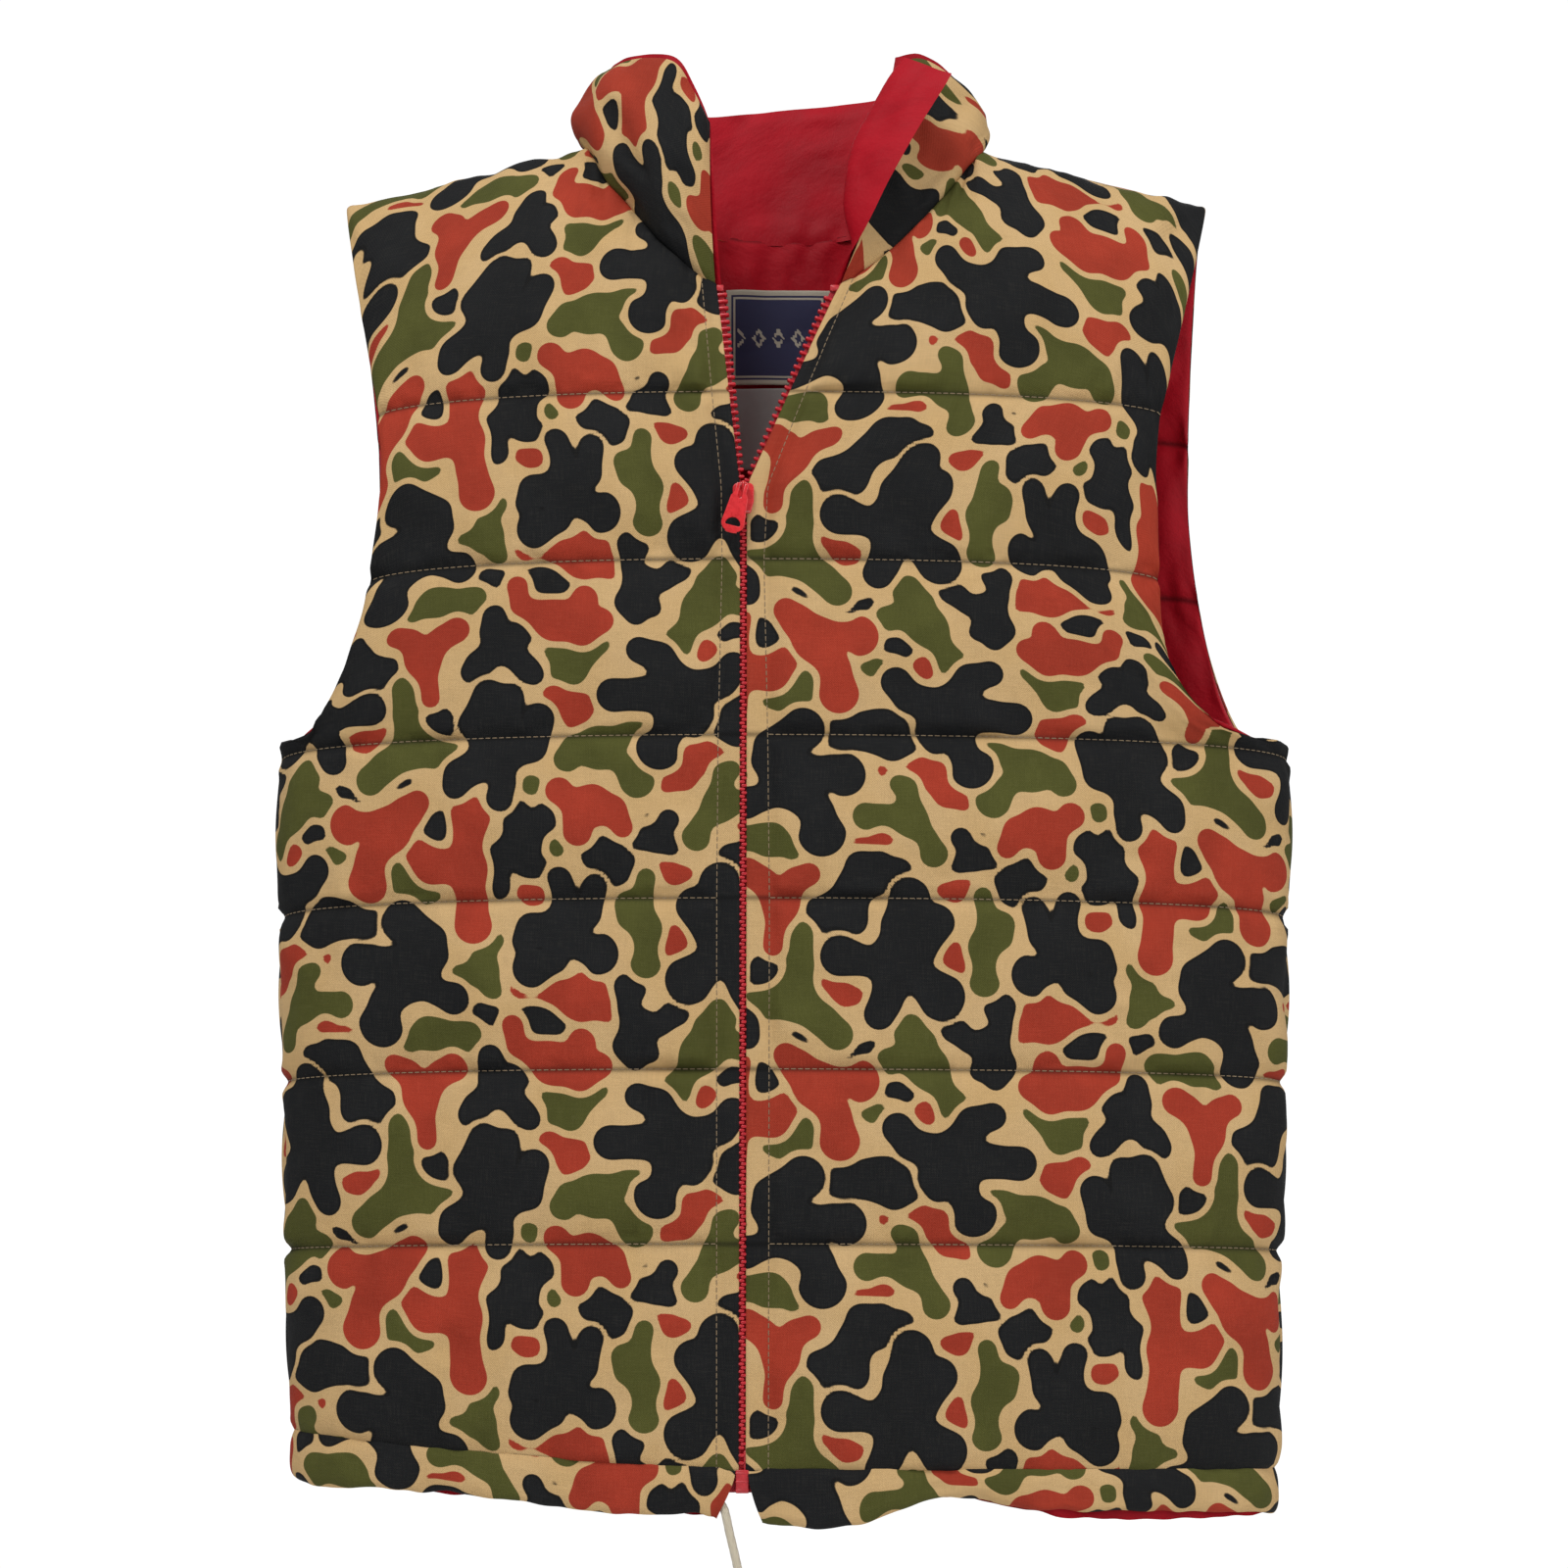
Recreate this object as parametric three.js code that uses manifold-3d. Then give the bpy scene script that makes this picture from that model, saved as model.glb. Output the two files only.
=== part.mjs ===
// A quilted down vest with a stand collar, hanging by its shoulders.
// Millimetres. +X is the wearer's left, +Y the back, +Z up. The origin is between the neck points,
// where a hanger's bar carries the vest. The body is a flattened tube: each panel is a shell cloth and
// a lining cloth with down between them, sewn together along level quilt lines.
import * as THREE from 'three';
import { mergeVertices } from 'three/addons/utils/BufferGeometryUtils.js';
import Module from 'manifold-3d';

const wasm = await Module();
wasm.setup();

// Body
const BODY_HALF_WIDTH_TOP = 256;
const BODY_HALF_WIDTH_HEM = 243;
const FRONT_DEPTH = 56;
const BACK_DEPTH = 60;
const SIDE_ROUNDNESS = 2.4;
const SEAM_HALF_GAP = 0.6;
const HEM_Z = -686;
const CASING_HEIGHT = 21;
const CASING_Z = HEM_Z + CASING_HEIGHT;

// Shoulders and neck
const NECK_HALF_WIDTH = 100;
const SHOULDER_TIP_X = 219;
const SHOULDER_TIP_Z = -30;
const FRONT_SHOULDER_ROLL = 180;
const BACK_SHOULDER_ROLL = 110;
const FRONT_NECK_Z = -83;
const BACK_NECK_Z = -34;

// Armholes
const UNDERARM_Z = -312;
const ARMHOLE_WAIST_Z = -180;
const FRONT_ARMHOLE_X = { right: 199, left: 189 };
const BACK_ARMHOLE_X = 213;

// Quilting
const QUILT_LINES = [-139, -223, -310, -390, -473, -557];
const QUILT_SAG = 9;
const PUFF = 10.5;
const COLLAR_PUFF = 7;
const SEAM_HALF_SPACE = 0.5;
const EDGE_HALF_SPACE = 1.6;
const CLOTH = 1;
const FILL_GAP = 0.8;

// Zip, down the front
const ZIP_X = -20;
const ZIP_HALF_OPENING = 4.2;
const ZIP_PART_Z = -187;
const TOOTH_HALF_SLOT = 0.7;
const TOOTH_REACH = 2.3;
const TOOTH_DEPTH = 3.4;
const TAPE_WIDTH = 10;
const TAPE_THICKNESS = 0.8;
const OPEN_NECK_X = { right: -34, left: 28 };
const BOX_HEIGHT = 11;
const BOX_TOP_Z = -664;
const PIN_HEIGHT = 16;
const PIN_IN_BOX = 7;

// Slider and pull
const SLIDER_WIDTH = 10.5;
const SLIDER_HEIGHT = 15;
const PLATE = 1.6;
const PLATE_OFFSET = 3.2;
const RAIL_WIDTH = 0.9;
const RAIL_THICKNESS = 1.2;
const RAIL_REACH = 3.4;
const RAIL_RISE = 0.9;
const PULL_LENGTH = 26;
const PULL_WIDTH = 12;
const PULL_THICKNESS = 1.8;
const PULL_LEAN = THREE.MathUtils.degToRad(14);

// Collar
const COLLAR_HEIGHT = 80;
const COLLAR_SEAM_GAP = 4.5;
const COLLAR_SPLIT_GAP = 3;
const NECK_GIRTH = 400;

// Drawcord
const CORD_DIAMETER = 4;
const CORD_HEIGHT_IN_CASING = 7;
const CASING_END_SETBACK = 8;

const COLOURS = {
  shell: 0xb99d68, lining: 0xb0122a, down: 0xe8e4da, zip: 0xc81d2c, label: 0x1b2050,
  careLabel: 0x9a9a96, cord: 0xe6dcc4,
};

const vest = new THREE.Group();

function addPart(name, geometry, colour, roughness = 0.85, metalness = 0) {
  const material = new THREE.MeshStandardMaterial({ color: colour, roughness, metalness });
  const mesh = new THREE.Mesh(geometry, material);
  mesh.name = name;
  vest.add(mesh);
  return mesh;
}

function lerp(from, to, share) {
  return from + (to - from) * share;
}

// ---- Solids from points ----

function solidFrom(points, triangles) {
  const geometry = new THREE.BufferGeometry();
  const places = points.flatMap((point) => [point.x, point.y, point.z]);
  geometry.setAttribute('position', new THREE.Float32BufferAttribute(places, 3));
  let volume = 0;
  for (const [a, b, c] of triangles) {
    volume += points[a].dot(new THREE.Vector3().crossVectors(points[b], points[c]));
  }
  const outward = volume > 0 ? triangles : triangles.map(([a, b, c]) => [a, c, b]);
  geometry.setIndex(outward.flat());
  return geometry;
}

// A closed slab over a grid of wall points, from one signed offset function to another. Each cell is
// split along the diagonal where the wall is thicker, so that cells bulge and layers stay apart.
function slab(grid, outerOffset, innerOffset) {
  const rows = grid.length;
  const columns = grid[0].length;
  const shifted = (offset) => grid.flat().map(({ point, normal, half }) => (
    point.clone().addScaledVector(normal, offset(half))
  ));
  const points = [...shifted(outerOffset), ...shifted(innerOffset)];
  const innerStart = rows * columns;
  const triangles = [];
  const quad = (a, b, c, d) => triangles.push([a, b, c], [a, c, d]);
  for (let i = 0; i < rows - 1; i += 1) {
    for (let j = 0; j < columns - 1; j += 1) {
      const a = i * columns + j;
      const below = a + columns;
      const falling = grid[i][j].half + grid[i + 1][j + 1].half;
      const rising = grid[i][j + 1].half + grid[i + 1][j].half;
      const cell = [a, a + 1, below + 1, below];
      const ordered = falling > rising - 1e-6 ? cell : [...cell.slice(1), cell[0]];
      quad(...ordered);
      const [p, q, r, t] = ordered.map((k) => innerStart + k);
      quad(p, t, r, q);
    }
  }
  const edge = [];
  for (let j = 0; j < columns - 1; j += 1) edge.push(j);
  for (let i = 0; i < rows - 1; i += 1) edge.push(i * columns + columns - 1);
  for (let j = columns - 1; j > 0; j -= 1) edge.push((rows - 1) * columns + j);
  for (let i = rows - 1; i > 0; i -= 1) edge.push(i * columns);
  edge.forEach((a, k) => {
    const b = edge[(k + 1) % edge.length];
    quad(a, innerStart + a, innerStart + b, b);
  });
  return solidFrom(points, triangles);
}

// A closed outline carried along a list of stations, each giving a point for (offset, height).
function sweptOutline(corners, stations) {
  const outline = THREE.ShapeUtils.isClockWise(corners) ? [...corners].reverse() : corners;
  const count = outline.length;
  const points = stations.flatMap((place) => outline.map((corner) => place(corner.x, corner.y)));
  const triangles = [];
  for (let i = 0; i < stations.length - 1; i += 1) {
    for (let j = 0; j < count; j += 1) {
      const a = i * count + j;
      const b = i * count + ((j + 1) % count);
      triangles.push([a, b, b + count], [a, b + count, a + count]);
    }
  }
  const last = (stations.length - 1) * count;
  for (const [a, b, c] of THREE.ShapeUtils.triangulateShape(outline, [])) {
    triangles.push([a, c, b], [last + a, last + b, last + c]);
  }
  return solidFrom(points, triangles);
}

function toManifold(geometry) {
  const bare = geometry.clone();
  bare.deleteAttribute('normal');
  bare.deleteAttribute('uv');
  const merged = mergeVertices(bare, 1e-4);
  return new wasm.Manifold(new wasm.Mesh({
    numProp: 3,
    vertProperties: new Float32Array(merged.attributes.position.array),
    triVerts: new Uint32Array(merged.index.array),
  }));
}

function fromManifold(manifold) {
  const mesh = manifold.getMesh();
  const geometry = new THREE.BufferGeometry();
  geometry.setAttribute('position', new THREE.BufferAttribute(mesh.vertProperties, 3));
  geometry.setIndex(new THREE.BufferAttribute(mesh.triVerts, 1));
  return geometry;
}

function box(width, depth, height, x, y, z) {
  return new THREE.BoxGeometry(width, depth, height).translate(x, y, z);
}

// ---- The body's surface ----

function bodyHalfWidth(z) {
  const share = THREE.MathUtils.clamp((z - UNDERARM_Z) / (HEM_Z - UNDERARM_Z), 0, 1);
  return lerp(BODY_HALF_WIDTH_TOP, BODY_HALF_WIDTH_HEM, share);
}

function shoulderZ(x) {
  const share = Math.max(0, Math.abs(x) - NECK_HALF_WIDTH) / (SHOULDER_TIP_X - NECK_HALF_WIDTH);
  return SHOULDER_TIP_Z * share;
}

// The middle of the wall's thickness at a width and height: nearly flat in front, rolling over the
// shoulder seam above and round to the side seam.
function wallPoint(x, z, side) {
  const depth = side < 0 ? FRONT_DEPTH : BACK_DEPTH;
  const roll = side < 0 ? FRONT_SHOULDER_ROLL : BACK_SHOULDER_ROLL;
  const down = THREE.MathUtils.clamp((shoulderZ(x) - z) / roll, 0, 1);
  const across = Math.min(1, Math.abs(x) / bodyHalfWidth(z));
  const rolled = Math.sqrt(1 - (1 - down) ** 2);
  const rounded = (1 - across ** SIDE_ROUNDNESS) ** (1 / SIDE_ROUNDNESS);
  return new THREE.Vector3(x, side * (SEAM_HALF_GAP + (depth - SEAM_HALF_GAP) * rolled * rounded), z);
}

// The armhole's edge from the shoulder tip down to the underarm, deepest in at its waist.
function armholeX(z, waistX) {
  if (z > ARMHOLE_WAIST_Z) {
    const share = (z - ARMHOLE_WAIST_Z) / (SHOULDER_TIP_Z - ARMHOLE_WAIST_Z);
    return lerp(waistX, SHOULDER_TIP_X, share ** 1.6);
  }
  const share = Math.min(1, (ARMHOLE_WAIST_Z - z) / (ARMHOLE_WAIST_Z - UNDERARM_Z));
  return lerp(waistX, BODY_HALF_WIDTH_TOP, 1 - Math.sqrt(1 - share ** 2.6));
}

function sideX(z, waistX) {
  return z > UNDERARM_Z ? armholeX(z, waistX) : bodyHalfWidth(z);
}

// The front edge beside the zip: straight up to the slider, then out to the open neck.
function frontEdgeX(z, hand) {
  const closed = ZIP_X + hand * ZIP_HALF_OPENING;
  const neck = hand < 0 ? OPEN_NECK_X.right : OPEN_NECK_X.left;
  return lerp(closed, neck, Math.max(0, (z - ZIP_PART_Z) / (FRONT_NECK_Z - ZIP_PART_Z)));
}

// Shares of a panel's width at its columns. The last is the side seam or armhole.
const FRONT_COLUMNS = [0, 0.035, 0.14, 0.33, 0.55, 0.74, 0.89, 1];
const NECK_POINT_COLUMN = 0.33;
const BACK_HALF_COLUMNS = [0, 0.22, 0.33, 0.55, 0.74, 0.89, 1];
const CHANNEL_ROWS = [0, 0.25, 0.75, 1];
const TOP_CHANNEL_ROWS = [0, 0.07, 0.25, 0.75, 1];

function spread(share) {
  return Math.sin(share * Math.PI / 2);
}

// A quilt line sags from the middle towards the sides.
function quiltZ(line, share) {
  return line - QUILT_SAG * share * share;
}

const LINE_HEIGHTS = [...QUILT_LINES, CASING_Z];

function frontLinePoint(line, share, hand) {
  const z = quiltZ(line, share);
  const waistX = hand < 0 ? FRONT_ARMHOLE_X.right : FRONT_ARMHOLE_X.left;
  return new THREE.Vector2(lerp(frontEdgeX(z, hand), hand * sideX(z, waistX), spread(share)), z);
}

// The front panel's top: along the neckline from the zip to the neck point, then the shoulder seam.
function frontTopPoint(share, hand) {
  const neck = hand < 0 ? OPEN_NECK_X.right : OPEN_NECK_X.left;
  if (share <= NECK_POINT_COLUMN) {
    const along = Math.max(0, share) / NECK_POINT_COLUMN;
    const across = 1 - (1 - along) ** 1.25;
    return new THREE.Vector2(lerp(neck, hand * NECK_HALF_WIDTH, across), FRONT_NECK_Z * (1 - along ** 1.2));
  }
  const start = spread(NECK_POINT_COLUMN);
  const along = (spread(share) - start) / (1 - start);
  return new THREE.Vector2(hand * lerp(NECK_HALF_WIDTH, SHOULDER_TIP_X, along), SHOULDER_TIP_Z * along);
}

function backLinePoint(line, share) {
  const z = quiltZ(line, Math.abs(share));
  return new THREE.Vector2(Math.sign(share) * sideX(z, BACK_ARMHOLE_X) * spread(Math.abs(share)), z);
}

function backTopPoint(share) {
  const size = Math.abs(share);
  const hand = Math.sign(share);
  if (size <= NECK_POINT_COLUMN) {
    const along = size / NECK_POINT_COLUMN;
    return new THREE.Vector2(hand * NECK_HALF_WIDTH * along, BACK_NECK_Z * (1 - along ** 2.4));
  }
  const start = spread(NECK_POINT_COLUMN);
  const along = (spread(size) - start) / (1 - start);
  return new THREE.Vector2(hand * lerp(NECK_HALF_WIDTH, SHOULDER_TIP_X, along), SHOULDER_TIP_Z * along);
}

// A panel's grid: every row of every channel, with its points on the wall, outward normals and half
// the space between its cloths.
function panelGrid(topPoint, linePoint, columns, side, atEdge) {
  const outline = [topPoint, ...LINE_HEIGHTS.map((line) => (share) => linePoint(line, share))];
  const rows = [];
  const channelStarts = [];
  for (let channel = 0; channel < outline.length - 1; channel += 1) {
    channelStarts.push(rows.length === 0 ? 0 : rows.length - 1);
    const steps = channel === 0 ? TOP_CHANNEL_ROWS : CHANNEL_ROWS;
    steps.forEach((step, index) => {
      if (channel > 0 && index === 0) return;
      const flat = (share, at) => outline[channel](share).lerp(outline[channel + 1](share), at);
      rows.push(columns.map((share) => gridPoint(share, step, flat, side, atEdge, index, steps)));
    });
  }
  return { rows, channelStarts };
}

function gridPoint(share, step, flat, side, atEdge, index, steps) {
  const here = flat(share, step);
  const point = wallPoint(here.x, here.y, side);
  const near = 1e-3;
  const acrossFrom = flat(share - near, step);
  const acrossTo = flat(share + near, step);
  const downFrom = flat(share, step - near);
  const downTo = flat(share, step + near);
  const across = wallPoint(acrossTo.x, acrossTo.y, side).sub(wallPoint(acrossFrom.x, acrossFrom.y, side));
  const down = wallPoint(downTo.x, downTo.y, side).sub(wallPoint(downFrom.x, downFrom.y, side));
  const normal = across.cross(down).normalize();
  const outward = new THREE.Vector3(Math.sign(here.x) * 0.15, side, 0.3);
  if (normal.dot(outward) < 0) normal.negate();
  if (Math.abs(share) === 1 && here.y < UNDERARM_Z) normal.set(Math.sign(here.x), 0, 0);
  const onLine = index === 0 || index === steps.length - 1;
  const nearTop = steps === TOP_CHANNEL_ROWS && index === 1;
  let half = onLine ? SEAM_HALF_SPACE : PUFF;
  if (nearTop) half = PUFF * 0.3;
  if (atEdge(share)) half = EDGE_HALF_SPACE;
  if (onLine && atEdge(share)) half = SEAM_HALF_SPACE + 0.6;
  return { point, normal, half };
}

function between(a, b, share) {
  return {
    point: a.point.clone().lerp(b.point, share),
    normal: a.normal.clone().lerp(b.normal, share).normalize(),
    half: lerp(a.half, b.half, share),
  };
}

// The part of a grid from one fractional row to another and one fractional column to another.
function gridPart(rows, fromRow, toRow, fromColumn, toColumn) {
  const steps = (from, to) => {
    const inside = [];
    for (let k = Math.floor(from) + 1; k < to; k += 1) inside.push(k);
    return [from, ...inside, to];
  };
  const at = (row, index) => {
    const low = Math.min(Math.floor(index), row.length - 2);
    return between(row[low], row[low + 1], index - low);
  };
  return steps(fromRow, toRow).map((rowIndex) => {
    const low = Math.min(Math.floor(rowIndex), rows.length - 2);
    return steps(fromColumn, toColumn).map((columnIndex) => (
      between(at(rows[low], columnIndex), at(rows[low + 1], columnIndex), rowIndex - low)
    ));
  });
}

const FILL_INSET = 0.12;

function addCloths(name, rows) {
  addPart(`${name}_shell`, slab(rows, (half) => half + CLOTH, (half) => half), COLOURS.shell);
  addPart(`${name}_lining`, slab(rows, (half) => -half, (half) => -half - CLOTH), COLOURS.lining);
}

function addFill(name, rows) {
  addPart(name, slab(rows, (half) => half - FILL_GAP, (half) => FILL_GAP - half), COLOURS.down);
}

function addPanel(name, grid, firstColumn) {
  addCloths(name, grid.rows);
  const lastColumn = grid.rows[0].length - 1 - FILL_INSET;
  grid.channelStarts.forEach((start, channel) => {
    const end = grid.channelStarts[channel + 1] ?? grid.rows.length - 1;
    const top = channel === 0 ? start + 1 : start + FILL_INSET;
    const part = gridPart(grid.rows, top, end - FILL_INSET, firstColumn, lastColumn);
    addFill(`${name}_down_${channel + 1}`, part);
  });
}

function frontGrid(hand) {
  return panelGrid(
    (share) => frontTopPoint(share, hand),
    (line, share) => frontLinePoint(line, share, hand),
    FRONT_COLUMNS, -1, (share) => share < 0.1 || share === 1,
  );
}

const rightFront = frontGrid(-1);
const leftFront = frontGrid(1);
const BACK_COLUMNS = [...BACK_HALF_COLUMNS.slice(1).reverse().map((share) => -share), ...BACK_HALF_COLUMNS];
const back = panelGrid(backTopPoint, backLinePoint, BACK_COLUMNS, 1, (share) => Math.abs(share) === 1);

addPanel('front_right', rightFront, 1 + FILL_INSET);
addPanel('front_left', leftFront, 1 + FILL_INSET);
addPanel('back', back, FILL_INSET);

// ---- Hem casing: a folded strip of cloth under each panel, with a tunnel for the drawcord ----

const CASING_HALF = CORD_DIAMETER / 2 + 0.9;

function hemStation(x, side) {
  const nudge = 0.5;
  const around = bodyHalfWidth(CASING_Z);
  const here = wallPoint(x, CASING_Z, side);
  const next = wallPoint(Math.min(x + nudge, around), CASING_Z, side);
  const tangent = next.sub(wallPoint(Math.max(x - nudge, -around), CASING_Z, side));
  const normal = new THREE.Vector3(tangent.y, -tangent.x, 0).normalize().multiplyScalar(-side);
  return { here, normal };
}

function casingOutline() {
  const outer = CASING_HALF + CLOTH;
  const top = -0.5;
  const bottom = -CASING_HEIGHT;
  return [
    [outer, top], [outer, bottom], [-outer, bottom], [-outer, top],
    [-CASING_HALF, top], [-CASING_HALF, bottom + CLOTH], [CASING_HALF, bottom + CLOTH], [CASING_HALF, top],
  ].map(([offset, height]) => new THREE.Vector2(offset, height));
}

// Sideways places round the hem at even turns, from one place to another.
function hemPlaces(fromX, toX, count) {
  const around = bodyHalfWidth(CASING_Z);
  const turn = (x) => Math.sign(x) * Math.asin(Math.min(1, (Math.abs(x) / around) ** (SIDE_ROUNDNESS / 2)));
  return Array.from({ length: count + 1 }, (_, k) => {
    const angle = lerp(turn(fromX), turn(toX), k / count);
    return Math.sign(angle) * around * Math.abs(Math.sin(angle)) ** (2 / SIDE_ROUNDNESS);
  });
}

function hemSag(x) {
  return QUILT_SAG * (x / BODY_HALF_WIDTH_HEM) ** 2;
}

function hemStations(side, fromX, toX, count) {
  return hemPlaces(fromX, toX, count).map((x) => {
    const { here, normal } = hemStation(x, side);
    return (offset, height) => new THREE.Vector3(
      here.x + normal.x * offset, here.y + normal.y * offset, CASING_Z - hemSag(x) + height,
    );
  });
}

function addCasing(name, side, fromX, toX, count) {
  addPart(name, sweptOutline(casingOutline(), hemStations(side, fromX, toX, count)), COLOURS.shell);
}

const hemReach = bodyHalfWidth(CASING_Z);
const rightCasingEnd = ZIP_X - ZIP_HALF_OPENING - CASING_END_SETBACK;
const leftCasingEnd = ZIP_X + ZIP_HALF_OPENING + 1;
addCasing('hem_casing_front_right', -1, -hemReach, rightCasingEnd, 9);
addCasing('hem_casing_front_left', -1, leftCasingEnd, hemReach, 10);
addCasing('hem_casing_back', 1, -hemReach, hemReach, 18);

// ---- Collar: a padded strip standing on the neckline, in a back part and two wings ----

// Points round the neck from the right front edge (0) to the left front edge (1).
function collarBase(share) {
  const hand = share < 0.5 ? -1 : 1;
  const fromFront = 1 - Math.abs(share - 0.5) * 2;
  const NECK_POINT_SHARE = 0.5;
  if (fromFront <= NECK_POINT_SHARE) {
    const flat = frontTopPoint(NECK_POINT_COLUMN * fromFront / NECK_POINT_SHARE, hand);
    return wallPoint(flat.x, flat.y, -1);
  }
  const flat = backTopPoint(hand * NECK_POINT_COLUMN * (1 - fromFront) / (1 - NECK_POINT_SHARE));
  return wallPoint(flat.x, flat.y, 1);
}

// How the collar leans out from the neck, at its front ends and behind. The left wing is turned out.
const COLLAR_LEAN = { rightWing: 0.1, leftWing: 0.5, behind: 0.14 };

function collarTop(share) {
  const base = collarBase(share);
  const outward = new THREE.Vector3(base.x, base.y, 0).normalize();
  const wing = Math.max(0, Math.abs(share - 0.5) * 4 - 1);
  const wingLean = share < 0.5 ? COLLAR_LEAN.rightWing : COLLAR_LEAN.leftWing;
  const lean = lerp(COLLAR_LEAN.behind, wingLean, wing);
  const towardsFront = THREE.MathUtils.smoothstep(Math.abs(share - 0.5) * 2, 0.5, 0.95);
  const rise = lerp(COLLAR_HEIGHT * 0.68, COLLAR_HEIGHT, towardsFront);
  const up = rise * Math.cos(lean);
  const behindRise = (1 - wing) * (share > 0.25 && share < 0.75 ? (COLLAR_HEIGHT - rise) * 0.6 : 0);
  const upward = new THREE.Vector3(0, 0, up + behindRise);
  return base.clone().addScaledVector(outward, rise * Math.sin(lean)).add(upward);
}

function collarPoint(share, height) {
  const base = collarBase(share);
  const top = collarTop(share);
  const length = base.distanceTo(top);
  const start = COLLAR_SEAM_GAP / length;
  return base.lerp(top, lerp(start, 1, height));
}

function collarGrid(fromShare, toShare, columnCount) {
  const heights = [0, 0.3, 0.7, 1];
  const near = 1e-3;
  return heights.map((height, i) => {
    const row = [];
    for (let j = 0; j <= columnCount; j += 1) {
      const share = lerp(fromShare, toShare, j / columnCount);
      const inside = THREE.MathUtils.clamp(share, near, 1 - near);
      const across = collarPoint(inside + near, height).sub(collarPoint(inside - near, height));
      const up = collarPoint(share, 1).sub(collarPoint(share, 0));
      const normal = across.cross(up).normalize();
      const point = collarPoint(share, height);
      if (normal.dot(new THREE.Vector3(point.x, point.y, 0)) < 0) normal.negate();
      const sewn = i === 0 || i === heights.length - 1;
      const atFrontEdge = share === 0 || share === 1;
      let half = sewn || atFrontEdge ? EDGE_HALF_SPACE : COLLAR_PUFF;
      if (i === 0) half = SEAM_HALF_SPACE;
      row.push({ point, normal, half });
    }
    return row;
  });
}

// Where each wing ends and the back part starts, as a share of the way round.
const WING_SHARE = 0.24;
const SPLIT_SHARE = COLLAR_SPLIT_GAP / NECK_GIRTH;

function addCollarPart(name, fromShare, toShare, columnCount) {
  const rows = collarGrid(fromShare, toShare, columnCount);
  addCloths(name, rows);
  const lastRow = rows.length - 1 - FILL_INSET;
  addFill(`${name}_down`, gridPart(rows, FILL_INSET, lastRow, FILL_INSET, columnCount - FILL_INSET));
}

addCollarPart('collar_right_wing', 0, WING_SHARE, 4);
addCollarPart('collar_back', WING_SHARE + SPLIT_SHARE, 1 - WING_SHARE - SPLIT_SHARE, 8);
addCollarPart('collar_left_wing', 1 - WING_SHARE, 1, 4);

// ---- Zip ----

// The wall's middle beside the zip, at a sideways offset from the teeth's line on one hand.
function zipPoint(z, hand, offset) {
  const x = frontEdgeX(z, hand) - hand * (ZIP_HALF_OPENING - offset);
  return wallPoint(x, z, -1);
}

const ZIP_TOP_Z = FRONT_NECK_Z - 4;
const CHAIN_HEIGHTS = [0, 0.33, 0.66, 1].map((share) => lerp(ZIP_TOP_Z, ZIP_PART_Z, share));

function zipStrip(hand, nearOffset, farOffset, thickness, heights) {
  const outline = [
    [nearOffset, thickness / 2], [farOffset, thickness / 2],
    [farOffset, -thickness / 2], [nearOffset, -thickness / 2],
  ].map(([across, deep]) => new THREE.Vector2(across, deep));
  const stations = heights.map((z) => (across, deep) => {
    const point = zipPoint(z, hand, across);
    return new THREE.Vector3(point.x, point.y + deep, z);
  });
  return sweptOutline(outline, stations);
}

function addZipSide(name, hand) {
  const bottom = hand < 0 ? BOX_TOP_Z + 0.4 : BOX_TOP_Z + PIN_HEIGHT - PIN_IN_BOX + 0.4;
  const toothEnd = TOOTH_HALF_SLOT + TOOTH_REACH;
  const teeth = zipStrip(hand, TOOTH_HALF_SLOT, toothEnd, TOOTH_DEPTH, [...CHAIN_HEIGHTS, bottom]);
  addPart(`zip_teeth_${name}`, teeth, COLOURS.zip, 0.4);
  const tapeStart = toothEnd + 0.3;
  const tapeHeights = [...CHAIN_HEIGHTS, BOX_TOP_Z - BOX_HEIGHT];
  const tape = zipStrip(hand, tapeStart, tapeStart + TAPE_WIDTH, TAPE_THICKNESS, tapeHeights);
  addPart(`zip_tape_${name}`, tape, COLOURS.zip);
  const stopHeights = [ZIP_TOP_Z + 3.5, ZIP_TOP_Z + 0.4];
  const stop = zipStrip(hand, TOOTH_HALF_SLOT, toothEnd + 1, TOOTH_DEPTH, stopHeights);
  addPart(`zip_top_stop_${name}`, stop, COLOURS.zip, 0.4);
}

addZipSide('right', -1);
addZipSide('left', 1);

const zipY = zipPoint(BOX_TOP_Z, 1, 0).y;

// The retainer box is fixed to the right side's tape, and the left side's pin stands in its pocket.
function addZipFoot() {
  const pinWidth = 1.8;
  const pinDepth = 2.2;
  const pinX = ZIP_X + TOOTH_HALF_SLOT + pinWidth / 2;
  const clearance = 0.3;
  const boxWidth = ZIP_HALF_OPENING * 2 - 2.2;
  const body = toManifold(box(boxWidth, 5, BOX_HEIGHT, ZIP_X, zipY, BOX_TOP_Z - BOX_HEIGHT / 2));
  const pocketDepth = PIN_IN_BOX + clearance;
  const pocket = toManifold(box(
    pinWidth + clearance * 2, pinDepth + clearance * 2, pocketDepth + 2,
    pinX, zipY, BOX_TOP_Z - pocketDepth / 2 + 1,
  ));
  addPart('zip_retainer_box', fromManifold(body.subtract(pocket)), COLOURS.zip, 0.4);
  const pinTop = BOX_TOP_Z - PIN_IN_BOX + PIN_HEIGHT;
  const pin = box(pinWidth, pinDepth, PIN_HEIGHT, pinX, zipY, pinTop - PIN_HEIGHT / 2);
  addPart('zip_insertion_pin', pin, COLOURS.zip, 0.4);
}

addZipFoot();

// ---- Slider: two plates joined by a web that runs between the teeth, with a rail for the pull ----

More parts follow.
